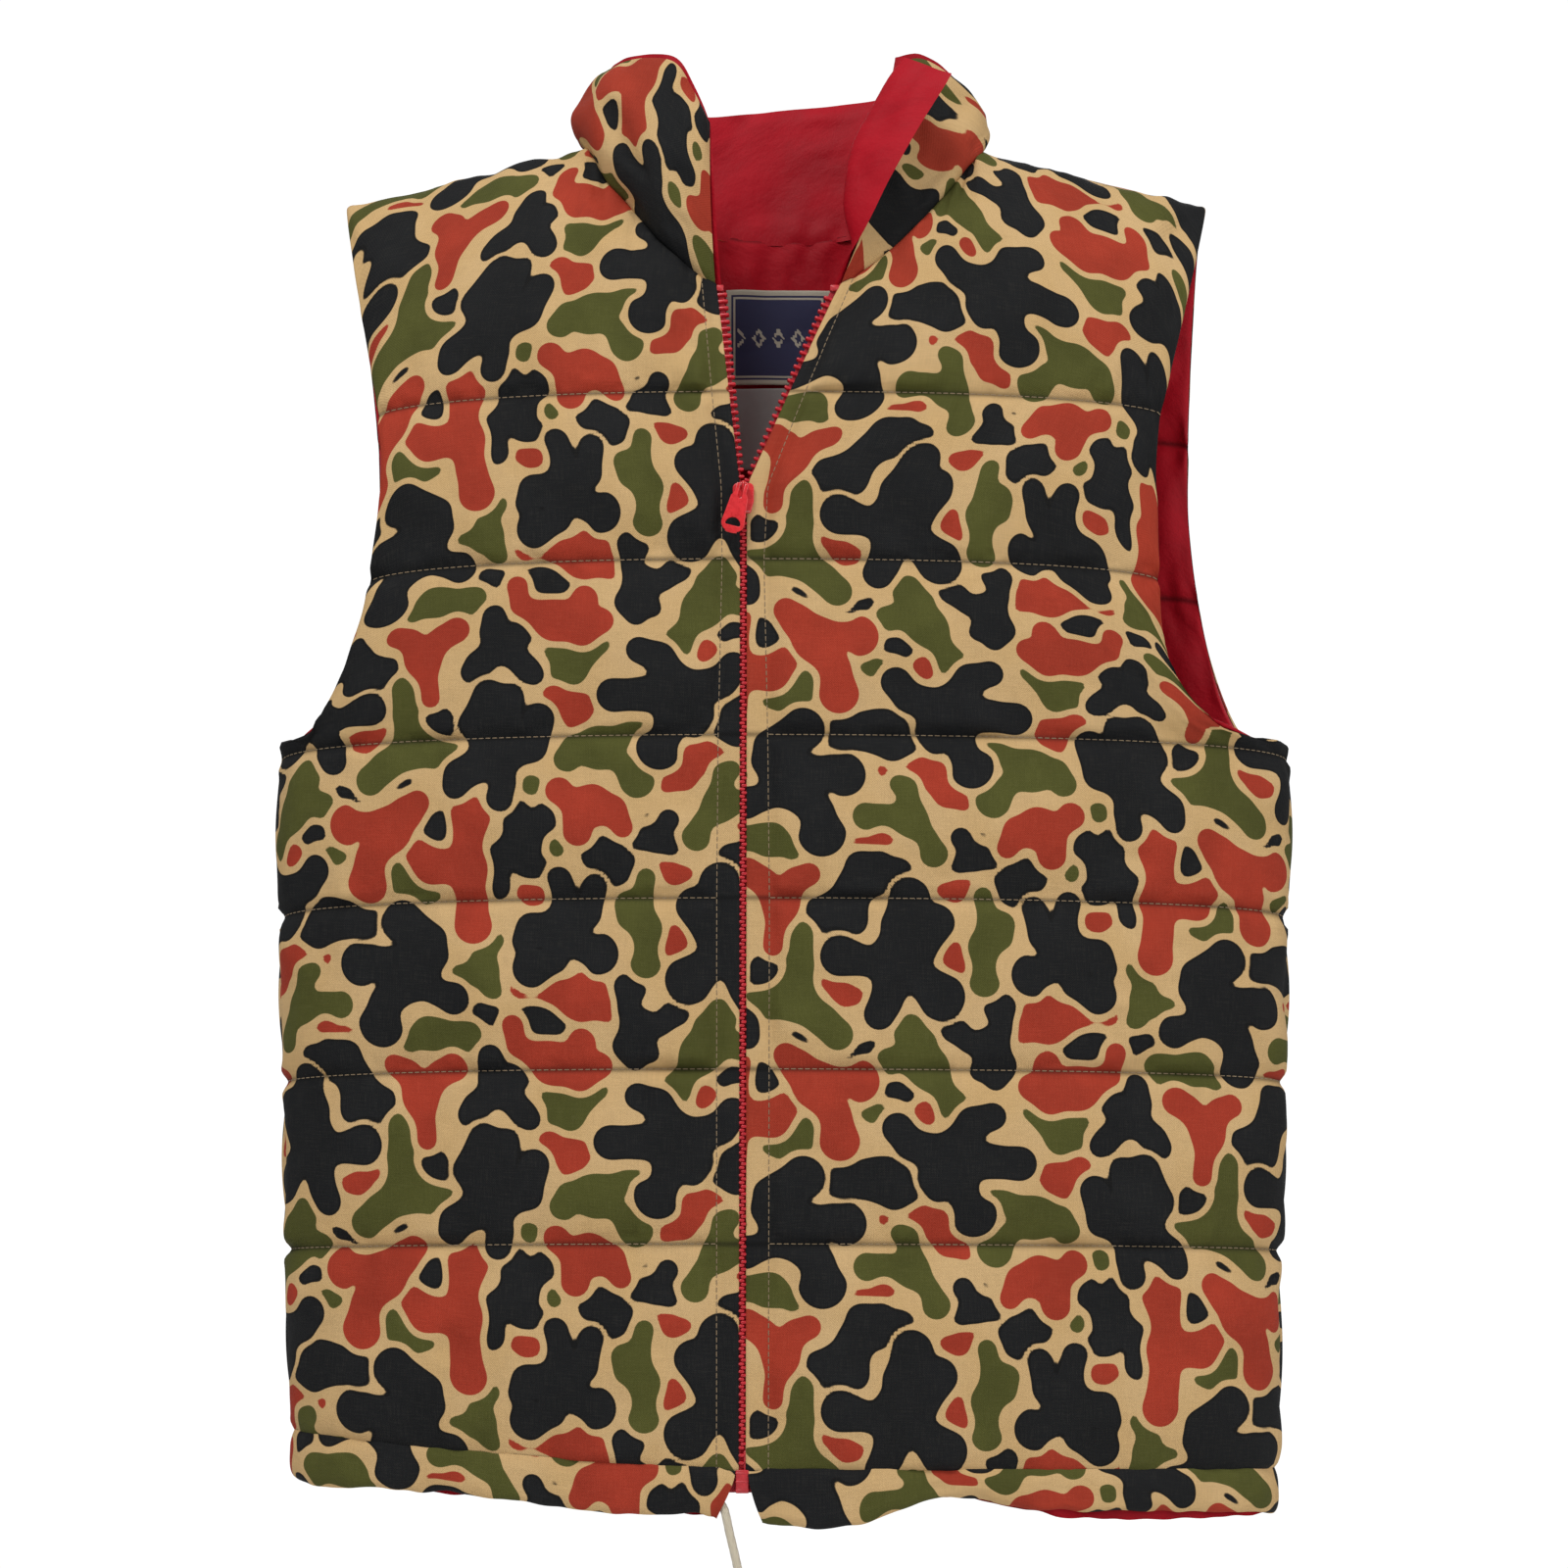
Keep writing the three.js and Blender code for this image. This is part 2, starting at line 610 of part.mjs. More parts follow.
const sliderTop = ZIP_PART_Z + 1;
const sliderY = zipPoint(ZIP_PART_Z, 1, 0).y;
const axleY = sliderY - PLATE_OFFSET - PLATE - 1.2;
const axleZ = sliderTop - 1;

function sliderPlate() {
  const half = SLIDER_WIDTH / 2;
  const low = -SLIDER_HEIGHT;
  const tongue = 1.2;
  const outline = new THREE.Shape([
    new THREE.Vector2(-tongue, RAIL_RISE), new THREE.Vector2(-tongue, 0),
    new THREE.Vector2(-half + 1.5, 0), new THREE.Vector2(-half, -2), new THREE.Vector2(-half, low * 0.5),
    new THREE.Vector2(-half + 1.8, low), new THREE.Vector2(half - 1.8, low),
    new THREE.Vector2(half, low * 0.5), new THREE.Vector2(half, -2), new THREE.Vector2(half - 1.5, 0),
    new THREE.Vector2(tongue, 0), new THREE.Vector2(tongue, RAIL_RISE),
  ]);
  return new THREE.ExtrudeGeometry(outline, { depth: PLATE, bevelEnabled: false });
}

function addSlider() {
  const plates = [-PLATE_OFFSET, PLATE_OFFSET + PLATE].map((offset) => (
    toManifold(sliderPlate().rotateX(Math.PI / 2).translate(ZIP_X, sliderY + offset, sliderTop))
  ));
  const webWidth = TOOTH_HALF_SLOT * 2 - 0.6;
  const webHeight = 7;
  const webZ = sliderTop - webHeight / 2;
  const web = toManifold(box(webWidth, PLATE_OFFSET * 2 + PLATE, webHeight, ZIP_X, sliderY, webZ));
  addPart('zip_slider', fromManifold(plates[0].add(plates[1]).add(web)), COLOURS.zip, 0.35, 0.3);
}

// The rail is a flat bar standing off the front plate, bent back to it at both ends.
function addRail() {
  const face = sliderY - PLATE_OFFSET - PLATE - 0.3;
  const reach = face - RAIL_REACH + 0.3;
  const top = sliderTop + RAIL_RISE;
  const low = sliderTop - SLIDER_HEIGHT + 1.5;
  const outline = new THREE.Shape([
    new THREE.Vector2(face, top), new THREE.Vector2(reach + 1, top), new THREE.Vector2(reach, top - 1),
    new THREE.Vector2(reach, low + 1), new THREE.Vector2(reach + 1, low), new THREE.Vector2(face, low),
    new THREE.Vector2(face, low + RAIL_THICKNESS),
    new THREE.Vector2(reach + RAIL_THICKNESS, low + RAIL_THICKNESS),
    new THREE.Vector2(reach + RAIL_THICKNESS, top - RAIL_THICKNESS),
    new THREE.Vector2(face, top - RAIL_THICKNESS),
  ]);
  const bar = new THREE.ExtrudeGeometry(outline, { depth: RAIL_WIDTH, bevelEnabled: false });
  const turn = new THREE.Matrix4().makeBasis(
    new THREE.Vector3(0, 1, 0), new THREE.Vector3(0, 0, 1), new THREE.Vector3(1, 0, 0),
  );
  const rail = bar.applyMatrix4(turn).translate(ZIP_X - RAIL_WIDTH / 2, 0, 0);
  addPart('zip_slider_rail', rail, COLOURS.zip, 0.35, 0.3);
}

// The pull: an axle behind the rail, two cheeks round it, and a tab with a D-shaped hole.
function addPull() {
  const cheekGap = RAIL_WIDTH / 2 + 0.4;
  const cheek = 1.2;
  const axleRadius = 0.6;
  const tabY = sliderY - PLATE_OFFSET - PLATE - RAIL_REACH - 0.7;
  const half = PULL_WIDTH / 2;
  const tab = new THREE.Shape();
  tab.moveTo(-2.4, 0.3);
  tab.lineTo(-3.2, -4);
  tab.lineTo(-half, -PULL_LENGTH + 9);
  tab.lineTo(-half, -PULL_LENGTH + 3);
  tab.absarc(-half + 3, -PULL_LENGTH + 3, 3, Math.PI, Math.PI * 1.5, false);
  tab.absarc(half - 3, -PULL_LENGTH + 3, 3, Math.PI * 1.5, Math.PI * 2, false);
  tab.lineTo(half, -PULL_LENGTH + 9);
  tab.lineTo(3.2, -4);
  tab.lineTo(2.4, 0.3);
  const hole = new THREE.Path();
  const holeHalf = half - 2.2;
  hole.moveTo(-holeHalf, -PULL_LENGTH + 5);
  hole.absarc(0, -PULL_LENGTH + 5, holeHalf, Math.PI, 0, false);
  tab.holes.push(hole);
  const settings = { depth: PULL_THICKNESS, bevelEnabled: false, curveSegments: 6 };
  const tabGeometry = new THREE.ExtrudeGeometry(tab, settings)
    .rotateX(Math.PI / 2).rotateY(PULL_LEAN).translate(ZIP_X, tabY, axleZ);
  let pull = toManifold(tabGeometry);
  const reach = axleY - tabY + PULL_THICKNESS / 2 + 0.6;
  for (const hand of [-1, 1]) {
    const x = ZIP_X + hand * (cheekGap + cheek / 2);
    pull = pull.add(toManifold(box(cheek, reach, 1.6, x, axleY + 0.6 - reach / 2, axleZ)));
  }
  const axleLength = cheekGap * 2 + cheek;
  const axle = new THREE.CylinderGeometry(axleRadius, axleRadius, axleLength, 12).rotateZ(Math.PI / 2);
  pull = pull.add(toManifold(axle.translate(ZIP_X, axleY, axleZ)));
  addPart('zip_pull', fromManifold(pull), COLOURS.zip, 0.35, 0.3);
}

addSlider();
addRail();
addPull();

// ---- Labels, sewn to the lining inside the back of the neck ----

const labelY = 39.5;
addPart('neck_label', box(56, 0.8, 51, -3, labelY, -87), COLOURS.label);
addPart('care_label', box(34, 0.6, 44, -10, labelY - 1.2, -137), COLOURS.careLabel);
addPart('size_label', box(11, 0.6, 30, 14, labelY - 1.2, -129), COLOURS.careLabel);

// ---- Drawcord: held in the casing round the hem, with a free tail from the right front's corner ----

const CORD_SIDES = 8;

// The tail's route: out of the casing's end, over its edge and down.
const TAIL_ROUTE = [
  [-33.0, -56.0, -679.0], [-30.5, -56.2, -680.2], [-28.6, -56.6, -683.0], [-27.4, -57.0, -687.5],
  [-26.2, -57.4, -693.0], [-24.6, -57.8, -699.5], [-22.8, -58.0, -707.0], [-21.2, -58.0, -715.5],
  [-20.2, -57.8, -725.0], [-20.0, -57.4, -736.0], [-20.6, -57.0, -748.0], [-21.6, -56.6, -761.0],
  [-22.6, -56.4, -775.0], [-23.2, -56.4, -789.0], [-23.3, -56.6, -803.0], [-23.0, -56.9, -818.0],
  [-22.8, -57.0, -834.0],
].map(([x, y, z]) => new THREE.Vector3(x, y, z));

function roundSection(diameter, height = 0) {
  return Array.from({ length: CORD_SIDES }, (_, k) => {
    const angle = (k / CORD_SIDES) * Math.PI * 2;
    return new THREE.Vector2(Math.cos(angle) * diameter / 2, height + Math.sin(angle) * diameter / 2);
  });
}

function addCordInCasing() {
  const fromEnd = rightCasingEnd - 3.5;
  const toEnd = leftCasingEnd + 12;
  const stations = [
    ...hemStations(-1, fromEnd, -hemReach, 9),
    ...hemStations(1, -hemReach, hemReach, 18),
    ...hemStations(-1, hemReach, toEnd, 9),
  ];
  const section = roundSection(CORD_DIAMETER - 0.2, CORD_HEIGHT_IN_CASING - CASING_HEIGHT);
  addPart('drawcord_in_casing', sweptOutline(section, stations), COLOURS.cord);
}

function addTail() {
  const extrudePath = new THREE.CatmullRomCurve3(TAIL_ROUTE);
  const section = new THREE.Shape(roundSection(CORD_DIAMETER));
  const tail = new THREE.ExtrudeGeometry(section, { steps: 36, extrudePath, bevelEnabled: false });
  addPart('drawcord_tail', tail, COLOURS.cord);
}

function addKnot() {
  const end = TAIL_ROUTE[TAIL_ROUTE.length - 1];
  const knot = new THREE.SphereGeometry(4.2, 10, 8).rotateX(Math.PI / 2).scale(1, 1, 1.3);
  addPart('drawcord_end_knot', knot.translate(end.x, end.y, end.z - 4.2 * 1.3 - 0.4), COLOURS.cord);
}

addCordInCasing();
addTail();
addKnot();

export default vest;
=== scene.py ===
"""A quilted down vest with a lobed camouflage print outside and plain red taffeta inside.

Metres. +X is the wearer's left, +Y the back, +Z up, and the origin is between the neck points. The body
is a flattened tube of three panels. Each panel is a printed shell and a red lining that meet at the quilt
lines, and cloth simulation blows the cloth out between them.
"""
import math
from functools import partial

import bmesh
import bpy
import numpy as np
from mathutils import Matrix, Vector


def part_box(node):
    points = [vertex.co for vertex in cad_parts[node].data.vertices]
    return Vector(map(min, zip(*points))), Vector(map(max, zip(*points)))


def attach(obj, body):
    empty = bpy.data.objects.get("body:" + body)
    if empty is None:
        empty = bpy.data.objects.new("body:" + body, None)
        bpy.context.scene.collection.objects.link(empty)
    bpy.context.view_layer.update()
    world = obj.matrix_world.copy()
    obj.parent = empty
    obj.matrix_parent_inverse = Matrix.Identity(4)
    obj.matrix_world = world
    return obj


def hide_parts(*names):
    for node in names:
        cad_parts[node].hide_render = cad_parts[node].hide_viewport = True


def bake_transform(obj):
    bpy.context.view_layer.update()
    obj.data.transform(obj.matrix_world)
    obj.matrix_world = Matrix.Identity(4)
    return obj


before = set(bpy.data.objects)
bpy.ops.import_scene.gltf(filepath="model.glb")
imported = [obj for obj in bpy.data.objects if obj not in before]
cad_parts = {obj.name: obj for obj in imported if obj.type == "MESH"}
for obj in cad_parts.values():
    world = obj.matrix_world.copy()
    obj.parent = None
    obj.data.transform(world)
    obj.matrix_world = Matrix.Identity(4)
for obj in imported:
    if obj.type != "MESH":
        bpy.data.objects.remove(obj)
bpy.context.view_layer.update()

scene = bpy.context.scene

# ---- Camera: level with the vest's lower half, tilted slightly up ----

CAMERA_PLACE = (0.0, -1.300, -0.430)
CAMERA_TILT_UP = math.atan(1 / 13)
CAMERA_LENS = 58.5
CAMERA_SENSOR = 36


def make_camera():
    data = bpy.data.cameras.new("camera")
    data.lens = CAMERA_LENS
    data.sensor_width = CAMERA_SENSOR
    camera = bpy.data.objects.new("camera", data)
    scene.collection.objects.link(camera)
    camera.location = CAMERA_PLACE
    camera.rotation_euler = (math.pi / 2 + CAMERA_TILT_UP, 0, 0)
    scene.camera = camera


make_camera()

# ---- Small tools for materials ----


class Recipe:
    """A material's nodes, with short ways to add them. A socket will do wherever a value is asked for."""

    def __init__(self, name):
        self.material = bpy.data.materials.new(name)
        self.material.use_nodes = True
        self.nodes = self.material.node_tree.nodes
        self.join = self.material.node_tree.links.new
        self.shader = self.nodes["Principled BSDF"].inputs

    def fill(self, sockets, values):
        """Gives each named or numbered socket its value, or joins it to the socket that is given."""
        for key, value in values.items():
            if isinstance(value, bpy.types.NodeSocket):
                self.join(value, sockets[key])
            else:
                sockets[key].default_value = value

    def look(self, values):
        self.fill(self.shader, values)
        return self.material

    def mix(self, factor, first, second):
        """A mix of two colours."""
        node = self.nodes.new("ShaderNodeMix")
        node.data_type = "RGBA"
        self.fill(node.inputs, {0: factor, 6: first, 7: second})
        return node.outputs[2]

    def calculate(self, operation, first, second=0.0):
        node = self.nodes.new("ShaderNodeMath")
        node.operation = operation
        self.fill(node.inputs, {0: first, 1: second})
        return node.outputs[0]

    def remap(self, value, low, high, to_low=0.0, to_high=1.0):
        node = self.nodes.new("ShaderNodeMapRange")
        node.interpolation_type = "SMOOTHSTEP"
        ranges = {"From Min": low, "From Max": high, "To Min": to_low, "To Max": to_high}
        self.fill(node.inputs, {"Value": value, **ranges})
        return node.outputs["Result"]

    def read(self, name, output="Fac"):
        """What the mesh's points carry under that name."""
        node = self.nodes.new("ShaderNodeAttribute")
        node.attribute_name = name
        return node.outputs[output]

    def noise(self, vector, scale, detail=3.0, roughness=0.5):
        node = self.nodes.new("ShaderNodeTexNoise")
        self.fill(node.inputs, {"Vector": vector, "Scale": scale, "Detail": detail, "Roughness": roughness})
        return node.outputs["Fac"]

    def stretched(self, vector, scale):
        node = self.nodes.new("ShaderNodeVectorMath")
        node.operation = "MULTIPLY"
        self.fill(node.inputs, {0: vector, 1: scale})
        return node.outputs[0]

    def shaded(self, colour, brightness):
        node = self.nodes.new("ShaderNodeHueSaturation")
        self.fill(node.inputs, {"Color": colour, "Value": brightness})
        return node.outputs["Color"]

    def bump(self, height, distance, strength, under=None):
        """Raises the surface, on top of an earlier bump if there is one."""
        node = self.nodes.new("ShaderNodeBump")
        self.fill(node.inputs, {"Height": height, "Distance": distance, "Strength": strength})
        if under is not None:
            self.join(under, node.inputs["Normal"])
        self.join(node.outputs["Normal"], self.shader["Normal"])
        return node.outputs["Normal"]

    def weave(self, pitch_across, pitch_along):
        """Threads over and under each other, from the cloth's own flat coordinates."""
        cloth = self.read("cloth", "Vector")
        parts = self.nodes.new("ShaderNodeSeparateXYZ")
        self.join(cloth, parts.inputs[0])
        waves = []
        for socket, pitch in ((parts.outputs[0], pitch_across), (parts.outputs[1], pitch_along)):
            turns = self.calculate("MULTIPLY", socket, 2 * math.pi / pitch)
            waves.append(self.calculate("SINE", turns))
        return self.calculate("MULTIPLY", *waves), cloth

    def painted_fold_shade(self):
        """Painted shade: the colour is darker near the quilt lines, where the quilting draws the cloth in."""
        return self.remap(self.read("fold"), 0.0, 1.0, 1.0, PAINTED_FOLD_SHADE_BRIGHTNESS)


# ---- The print: lobed patches in three colours, trimmed to leave thin lines of ground between them ----

REPEAT_WIDTH = 0.255
REPEAT_HEIGHT = 0.265
PRINT_CELL = 0.001
PRINT_SCALE = 0.82
PRINT_GAP = 0.0038
PRINT_SEED = 3
PRINT_KINDS = ("black", "rust", "olive")
PRINT_FAR = 0.06
PRINT_NEAR = 0.004
OWN_KIND_SHARE = 0.3
PRINT_LUCK = 0.008
PATCH_BLUR = 1.3
PRINT_BLUR = 1.5
LIMB_FILLET = 0.0040
PATCH_FILLET = 0.0045
# Colour, how many in one repeat, reach of the limbs, number of limbs
PRINT_PLAN = [
    ("black", 5, 0.045, 5), ("rust", 5, 0.038, 3), ("olive", 5, 0.034, 3), ("black", 5, 0.037, 4),
    ("rust", 4, 0.031, 3), ("olive", 4, 0.028, 3), ("black", 5, 0.028, 3), ("rust", 5, 0.024, 2),
    ("olive", 4, 0.020, 2), ("black", 5, 0.020, 2),
]


def tapered(dx, dy, start, end, wide, narrow):
    """Distance to a limb that narrows from one end to the other."""
    ex, ey = end[0] - start[0], end[1] - start[1]
    along = np.clip(((dx - start[0]) * ex + (dy - start[1]) * ey) / (ex * ex + ey * ey), 0, 1)
    away = np.hypot(dx - start[0] - along * ex, dy - start[1] - along * ey)
    return away - (wide + (narrow - wide) * along)


def melt(first, second, radius):
    """The two shapes as one, with a fillet of that radius."""
    near = np.clip(0.5 + 0.5 * (second - first) / radius, 0, 1)
    return second + (first - second) * near - radius * near * (1 - near)


def splash(dx, dy, reach, limbs, rng):
    """Signed distance to a patch: a round middle with bent limbs that end in knobs."""
    turn = rng.uniform(0, 2 * np.pi)
    middle = reach * rng.uniform(0.24, 0.34)
    shape = None
    for limb in range(limbs):
        angle = turn + 2 * np.pi * (limb + rng.uniform(-0.34, 0.34)) / limbs
        bend = angle + rng.uniform(-1.2, 1.2)
        half = reach * rng.uniform(0.32, 0.62)
        knee = (half * math.cos(angle), half * math.sin(angle))
        tip_length = reach * rng.uniform(0.12, 0.45)
        tip = (knee[0] + tip_length * math.cos(bend), knee[1] + tip_length * math.sin(bend))
        waist = reach * rng.uniform(0.14, 0.24)
        knob = reach * rng.uniform(0.16, 0.32)
        upper = tapered(dx, dy, (0, 0), knee, middle, waist)
        lower = tapered(dx, dy, knee, tip, waist, knob)
        arm = melt(upper, lower, LIMB_FILLET)
        shape = arm if shape is None else melt(shape, arm, PATCH_FILLET)
    return shape


def wrapped(values, period):
    return (values + period / 2) % period - period / 2


def soften(field, row_cells, column_cells=None):
    """A Gaussian blur that wraps round, by Fourier transform."""
    fy = np.fft.fftfreq(field.shape[0])[:, None] * row_cells
    fx = np.fft.fftfreq(field.shape[1])[None] * (column_cells or row_cells)
    return np.real(np.fft.ifft2(np.fft.fft2(field) * np.exp(-2 * np.pi ** 2 * (fx ** 2 + fy ** 2))))


def make_print():
    """Signed distance to each colour over a block of two repeats side by side, the second dropped by half."""
    rng = np.random.default_rng(PRINT_SEED)
    rows = round(REPEAT_HEIGHT / PRINT_CELL)
    columns = round(2 * REPEAT_WIDTH / PRINT_CELL)
    y, x = (np.mgrid[0:rows, 0:columns] + 0.5) * PRINT_CELL
    free = np.full(x.shape, PRINT_FAR)
    fields = {kind: free.copy() for kind in PRINT_KINDS}
    for kind, count, reach, limbs in PRINT_PLAN:
        for _ in range(count):
            score = free + OWN_KIND_SHARE * fields[kind] + PRINT_LUCK * rng.random(free.shape)
            row, column = np.unravel_index(np.argmax(score), score.shape)
            seed = rng.integers(1 << 30)
            size = reach * rng.uniform(0.85, 1.15)
            copies = []
            for copy in (0, 1):
                dx = wrapped(x - x[row, column] - copy * REPEAT_WIDTH, 2 * REPEAT_WIDTH)
                dy = wrapped(y - y[row, column] - copy * REPEAT_HEIGHT / 2, REPEAT_HEIGHT)
                copies.append(splash(dx, dy, size, limbs, np.random.default_rng(seed)))
            trimmed = np.maximum(np.minimum(*copies), PRINT_GAP - free)
            trimmed = soften(np.clip(trimmed, -PRINT_FAR / 3, PRINT_FAR), PATCH_BLUR)
            fields[kind] = np.minimum(fields[kind], trimmed)
            free = np.minimum(free, trimmed)
    return {
        kind: soften(np.clip(field, -PRINT_NEAR, PRINT_NEAR), PRINT_BLUR) for kind, field in fields.items()
    }


PRINT = make_print()


def sample_print(kind, across, along):
    """The print's distance at flat cloth coordinates, between its cells."""
    field = PRINT[kind]
    rows, columns = field.shape
    column = across / (PRINT_CELL * PRINT_SCALE) - 0.5
    row = along / (PRINT_CELL * PRINT_SCALE) - 0.5
    c0 = np.floor(column).astype(int)
    r0 = np.floor(row).astype(int)
    fc = column - c0
    fr = row - r0
    c0, c1 = c0 % columns, (c0 + 1) % columns
    r0, r1 = r0 % rows, (r0 + 1) % rows
    top = field[r0, c0] * (1 - fc) + field[r0, c1] * fc
    low = field[r1, c0] * (1 - fc) + field[r1, c1] * fc
    return top * (1 - fr) + low * fr


# ---- Materials ----

TAN = (0.630, 0.410, 0.180, 1)
PALE_TAN = (0.665, 0.445, 0.212, 1)
PRINT_COLOURS = {
    "olive": (0.072, 0.074, 0.0140, 1),
    "rust": (0.340, 0.034, 0.015, 1),
    "black": (0.0070, 0.0075, 0.0084, 1),
}
RIM_INK = (0.0030, 0.0030, 0.0034, 1)
RIM_WIDTH = 0.0011
INK_EDGE = 0.00022
WORN_THREAD = (0.75, 0.68, 0.55, 1)
# Brightness of the painted shade right on a quilt line
PAINTED_FOLD_SHADE_BRIGHTNESS = 0.42
POPLIN_PITCH = 0.0011
TAFFETA_PITCH = 0.0007
LINING_REDS = ((0.38, 0.0040, 0.013, 1), (0.48, 0.0065, 0.018, 1))
LABEL_NAVY = ((0.008, 0.011, 0.055, 1), (0.016, 0.022, 0.10, 1))
LABEL_PALE = ((0.42, 0.40, 0.30, 1), (0.62, 0.60, 0.48, 1))
WORN_EDGE = (0.72, 0.45, 0.42, 1)


def paler(colour, times, more):
    return tuple(min(1, part * times + more) for part in colour[:3]) + (1,)


def make_shell_material():
    """Poplin: four inks, the black patches darker round their rims, a fine slubby weave, and painted shade
    along the quilt lines.
    """
    recipe = Recipe("printed_poplin")
    height, cloth = recipe.weave(POPLIN_PITCH, POPLIN_PITCH)
    slubs = []
    for stretch in ((1.0, 0.05, 1.0), (0.05, 1.0, 1.0)):
        slubs.append(recipe.noise(recipe.stretched(cloth, stretch), 1900, 2.0))
    threads = recipe.calculate("ADD", *slubs)
    fade = recipe.noise(cloth, 26, 4.0)
    colour = recipe.mix(recipe.remap(fade, 0.3, 0.7), TAN, PALE_TAN)
    for kind, ink in PRINT_COLOURS.items():
        patch = recipe.mix(recipe.remap(fade, 0.3, 0.75), ink, paler(ink, 1.3, 0.001))
        inside = recipe.remap(recipe.read(kind), INK_EDGE, -INK_EDGE)
        colour = recipe.mix(inside, colour, patch)
    from_rim = recipe.calculate("ADD", recipe.read("black"), RIM_WIDTH / 2)
    away = recipe.calculate("ABSOLUTE", from_rim)
    rim = recipe.remap(away, RIM_WIDTH * 0.8, RIM_WIDTH * 0.4, 0.0, 0.8)
    colour = recipe.mix(rim, colour, RIM_INK)
    worn = recipe.mix(recipe.remap(threads, 0.9, 1.3, 0.0, 0.014), colour, WORN_THREAD)
    thread_shade = recipe.remap(threads, 0.75, 1.2, 0.95, 1.04)
    # The colour's brightness is slub tone times the painted shade along the quilt lines
    brightness = recipe.calculate("MULTIPLY", thread_shade, recipe.painted_fold_shade())
    soft = recipe.bump(recipe.noise(cloth, 170), 0.0012, 0.35)
    recipe.bump(recipe.calculate("ADD", height, threads), 0.00012, 0.6, under=soft)
    return recipe.look({
        "Base Color": recipe.shaded(worn, brightness),
        "Roughness": recipe.remap(threads, 0.8, 1.2, 0.72, 0.88),
        "Specular IOR Level": 0.2,
    })


def make_lining_material():
    """Nylon taffeta: bright red with a soft sheen, fine creases, and painted shade along the quilt lines."""
    recipe = Recipe("red_taffeta")
    height, cloth = recipe.weave(TAFFETA_PITCH, TAFFETA_PITCH)
    fade = recipe.noise(cloth, 34, 4.0)
    colour = recipe.mix(recipe.remap(fade, 0.3, 0.7), *LINING_REDS)
    creases = recipe.bump(recipe.noise(cloth, 120, 4.0, 0.6), 0.0016, 0.45)
    recipe.bump(height, 0.00006, 0.5, under=creases)
    return recipe.look({
        # Painted shade along the quilt lines darkens the red
        "Base Color": recipe.shaded(colour, recipe.painted_fold_shade()),
        "Roughness": recipe.remap(fade, 0.3, 0.7, 0.46, 0.58),
        "Specular IOR Level": 0.14,
        "Sheen Weight": 0.03,
        "Sheen Roughness": 0.35,
        "Sheen Tint": (1.0, 0.25, 0.25, 1),
    })


def make_moulded_material(name, colour, roughness, coat, wear, grain):
    """Moulded plastic or enamel: faint mottling, and pale wear on raised edges."""
    recipe = Recipe(name)
    place = recipe.nodes.new("ShaderNodeTexCoord").outputs["Object"]
    raised = recipe.nodes.new("ShaderNodeNewGeometry").outputs["Pointiness"]
    mottle = recipe.noise(place, 420)
    mottled = recipe.mix(recipe.remap(mottle, 0.35, 0.75), colour, paler(colour, 1.25, 0.004))
    recipe.bump(recipe.noise(place, 1600, 2.0), 0.00006, grain)
    return recipe.look({
        "Base Color": recipe.mix(recipe.remap(raised, 0.53, 0.62, 0.0, wear), mottled, WORN_EDGE),
        "Roughness": recipe.remap(mottle, 0.3, 0.7, roughness, roughness + 0.1),
        "Coat Weight": coat,
        "Coat Roughness": 0.2,
    })


def make_ribbed_material(name, colour, lighter, pitch, roughness, sheen=0.2):
    """Narrow woven goods: ribs across and threads along, from the piece's flat coordinates."""
    recipe = Recipe(name)
    height, cloth = recipe.weave(pitch, pitch * 1.6)
    fade = recipe.noise(cloth, 240)
    base = recipe.mix(recipe.remap(height, -1.0, 1.0), colour, lighter)
    recipe.bump(height, pitch * 0.25, 0.7)
    return recipe.look({
        "Base Color": recipe.mix(recipe.remap(fade, 0.35, 0.8, 0.0, 0.35), base, lighter),
        "Roughness": recipe.remap(fade, 0.3, 0.7, roughness, min(1, roughness + 0.12)),
        "Sheen Weight": sheen,
    })


def make_label_material():
    """Navy damask with a pale border and plain woven lozenges, drawn from flat coordinates."""
    recipe = Recipe("label_damask")
    height, _ = recipe.weave(0.0006, 0.0008)
    raised = recipe.remap(height, -1.0, 1.0)
    border = recipe.read("border")
    recipe.bump(recipe.calculate("ADD", height, border), 0.00012, 0.7)
    ground, pale = (recipe.mix(raised, *colours) for colours in (LABEL_NAVY, LABEL_PALE))
    return recipe.look({
        "Base Color": recipe.mix(recipe.remap(border, 0.45, 0.55), ground, pale),
        "Roughness": 0.62,
        "Sheen Weight": 0.3,
    })


SHELL = make_shell_material()
LINING = make_lining_material()
TOOTH = make_moulded_material("moulded_acetal", (0.50, 0.007, 0.017, 1), 0.3, 0.15, 0.05, 0.3)
ENAMEL = make_moulded_material("red_enamel", (0.68, 0.012, 0.018, 1), 0.24, 0.35, 0.5, 0.06)
TAPE = make_ribbed_material("herringbone_tape", (0.34, 0.006, 0.016, 1), (0.55, 0.02, 0.035, 1), 0.0009, 0.7)
RIBBON = make_ribbed_material("grey_satin", (0.30, 0.30, 0.29, 1), (0.46, 0.46, 0.44, 1), 0.0006, 0.45, 0.4)
BRAID = make_ribbed_material("cotton_braid", (0.62, 0.52, 0.36, 1), (0.83, 0.76, 0.60, 1), 0.0012, 0.8, 0.4)
THREAD = make_ribbed_material("sewing_thread", (0.20, 0.135, 0.07, 1), (0.36, 0.26, 0.15, 1), 0.0005, 0.6)
LABEL = make_label_material()

# ---- The body's surface: the CAD model's wall, with its own armhole curves and a lifted hem corner ----

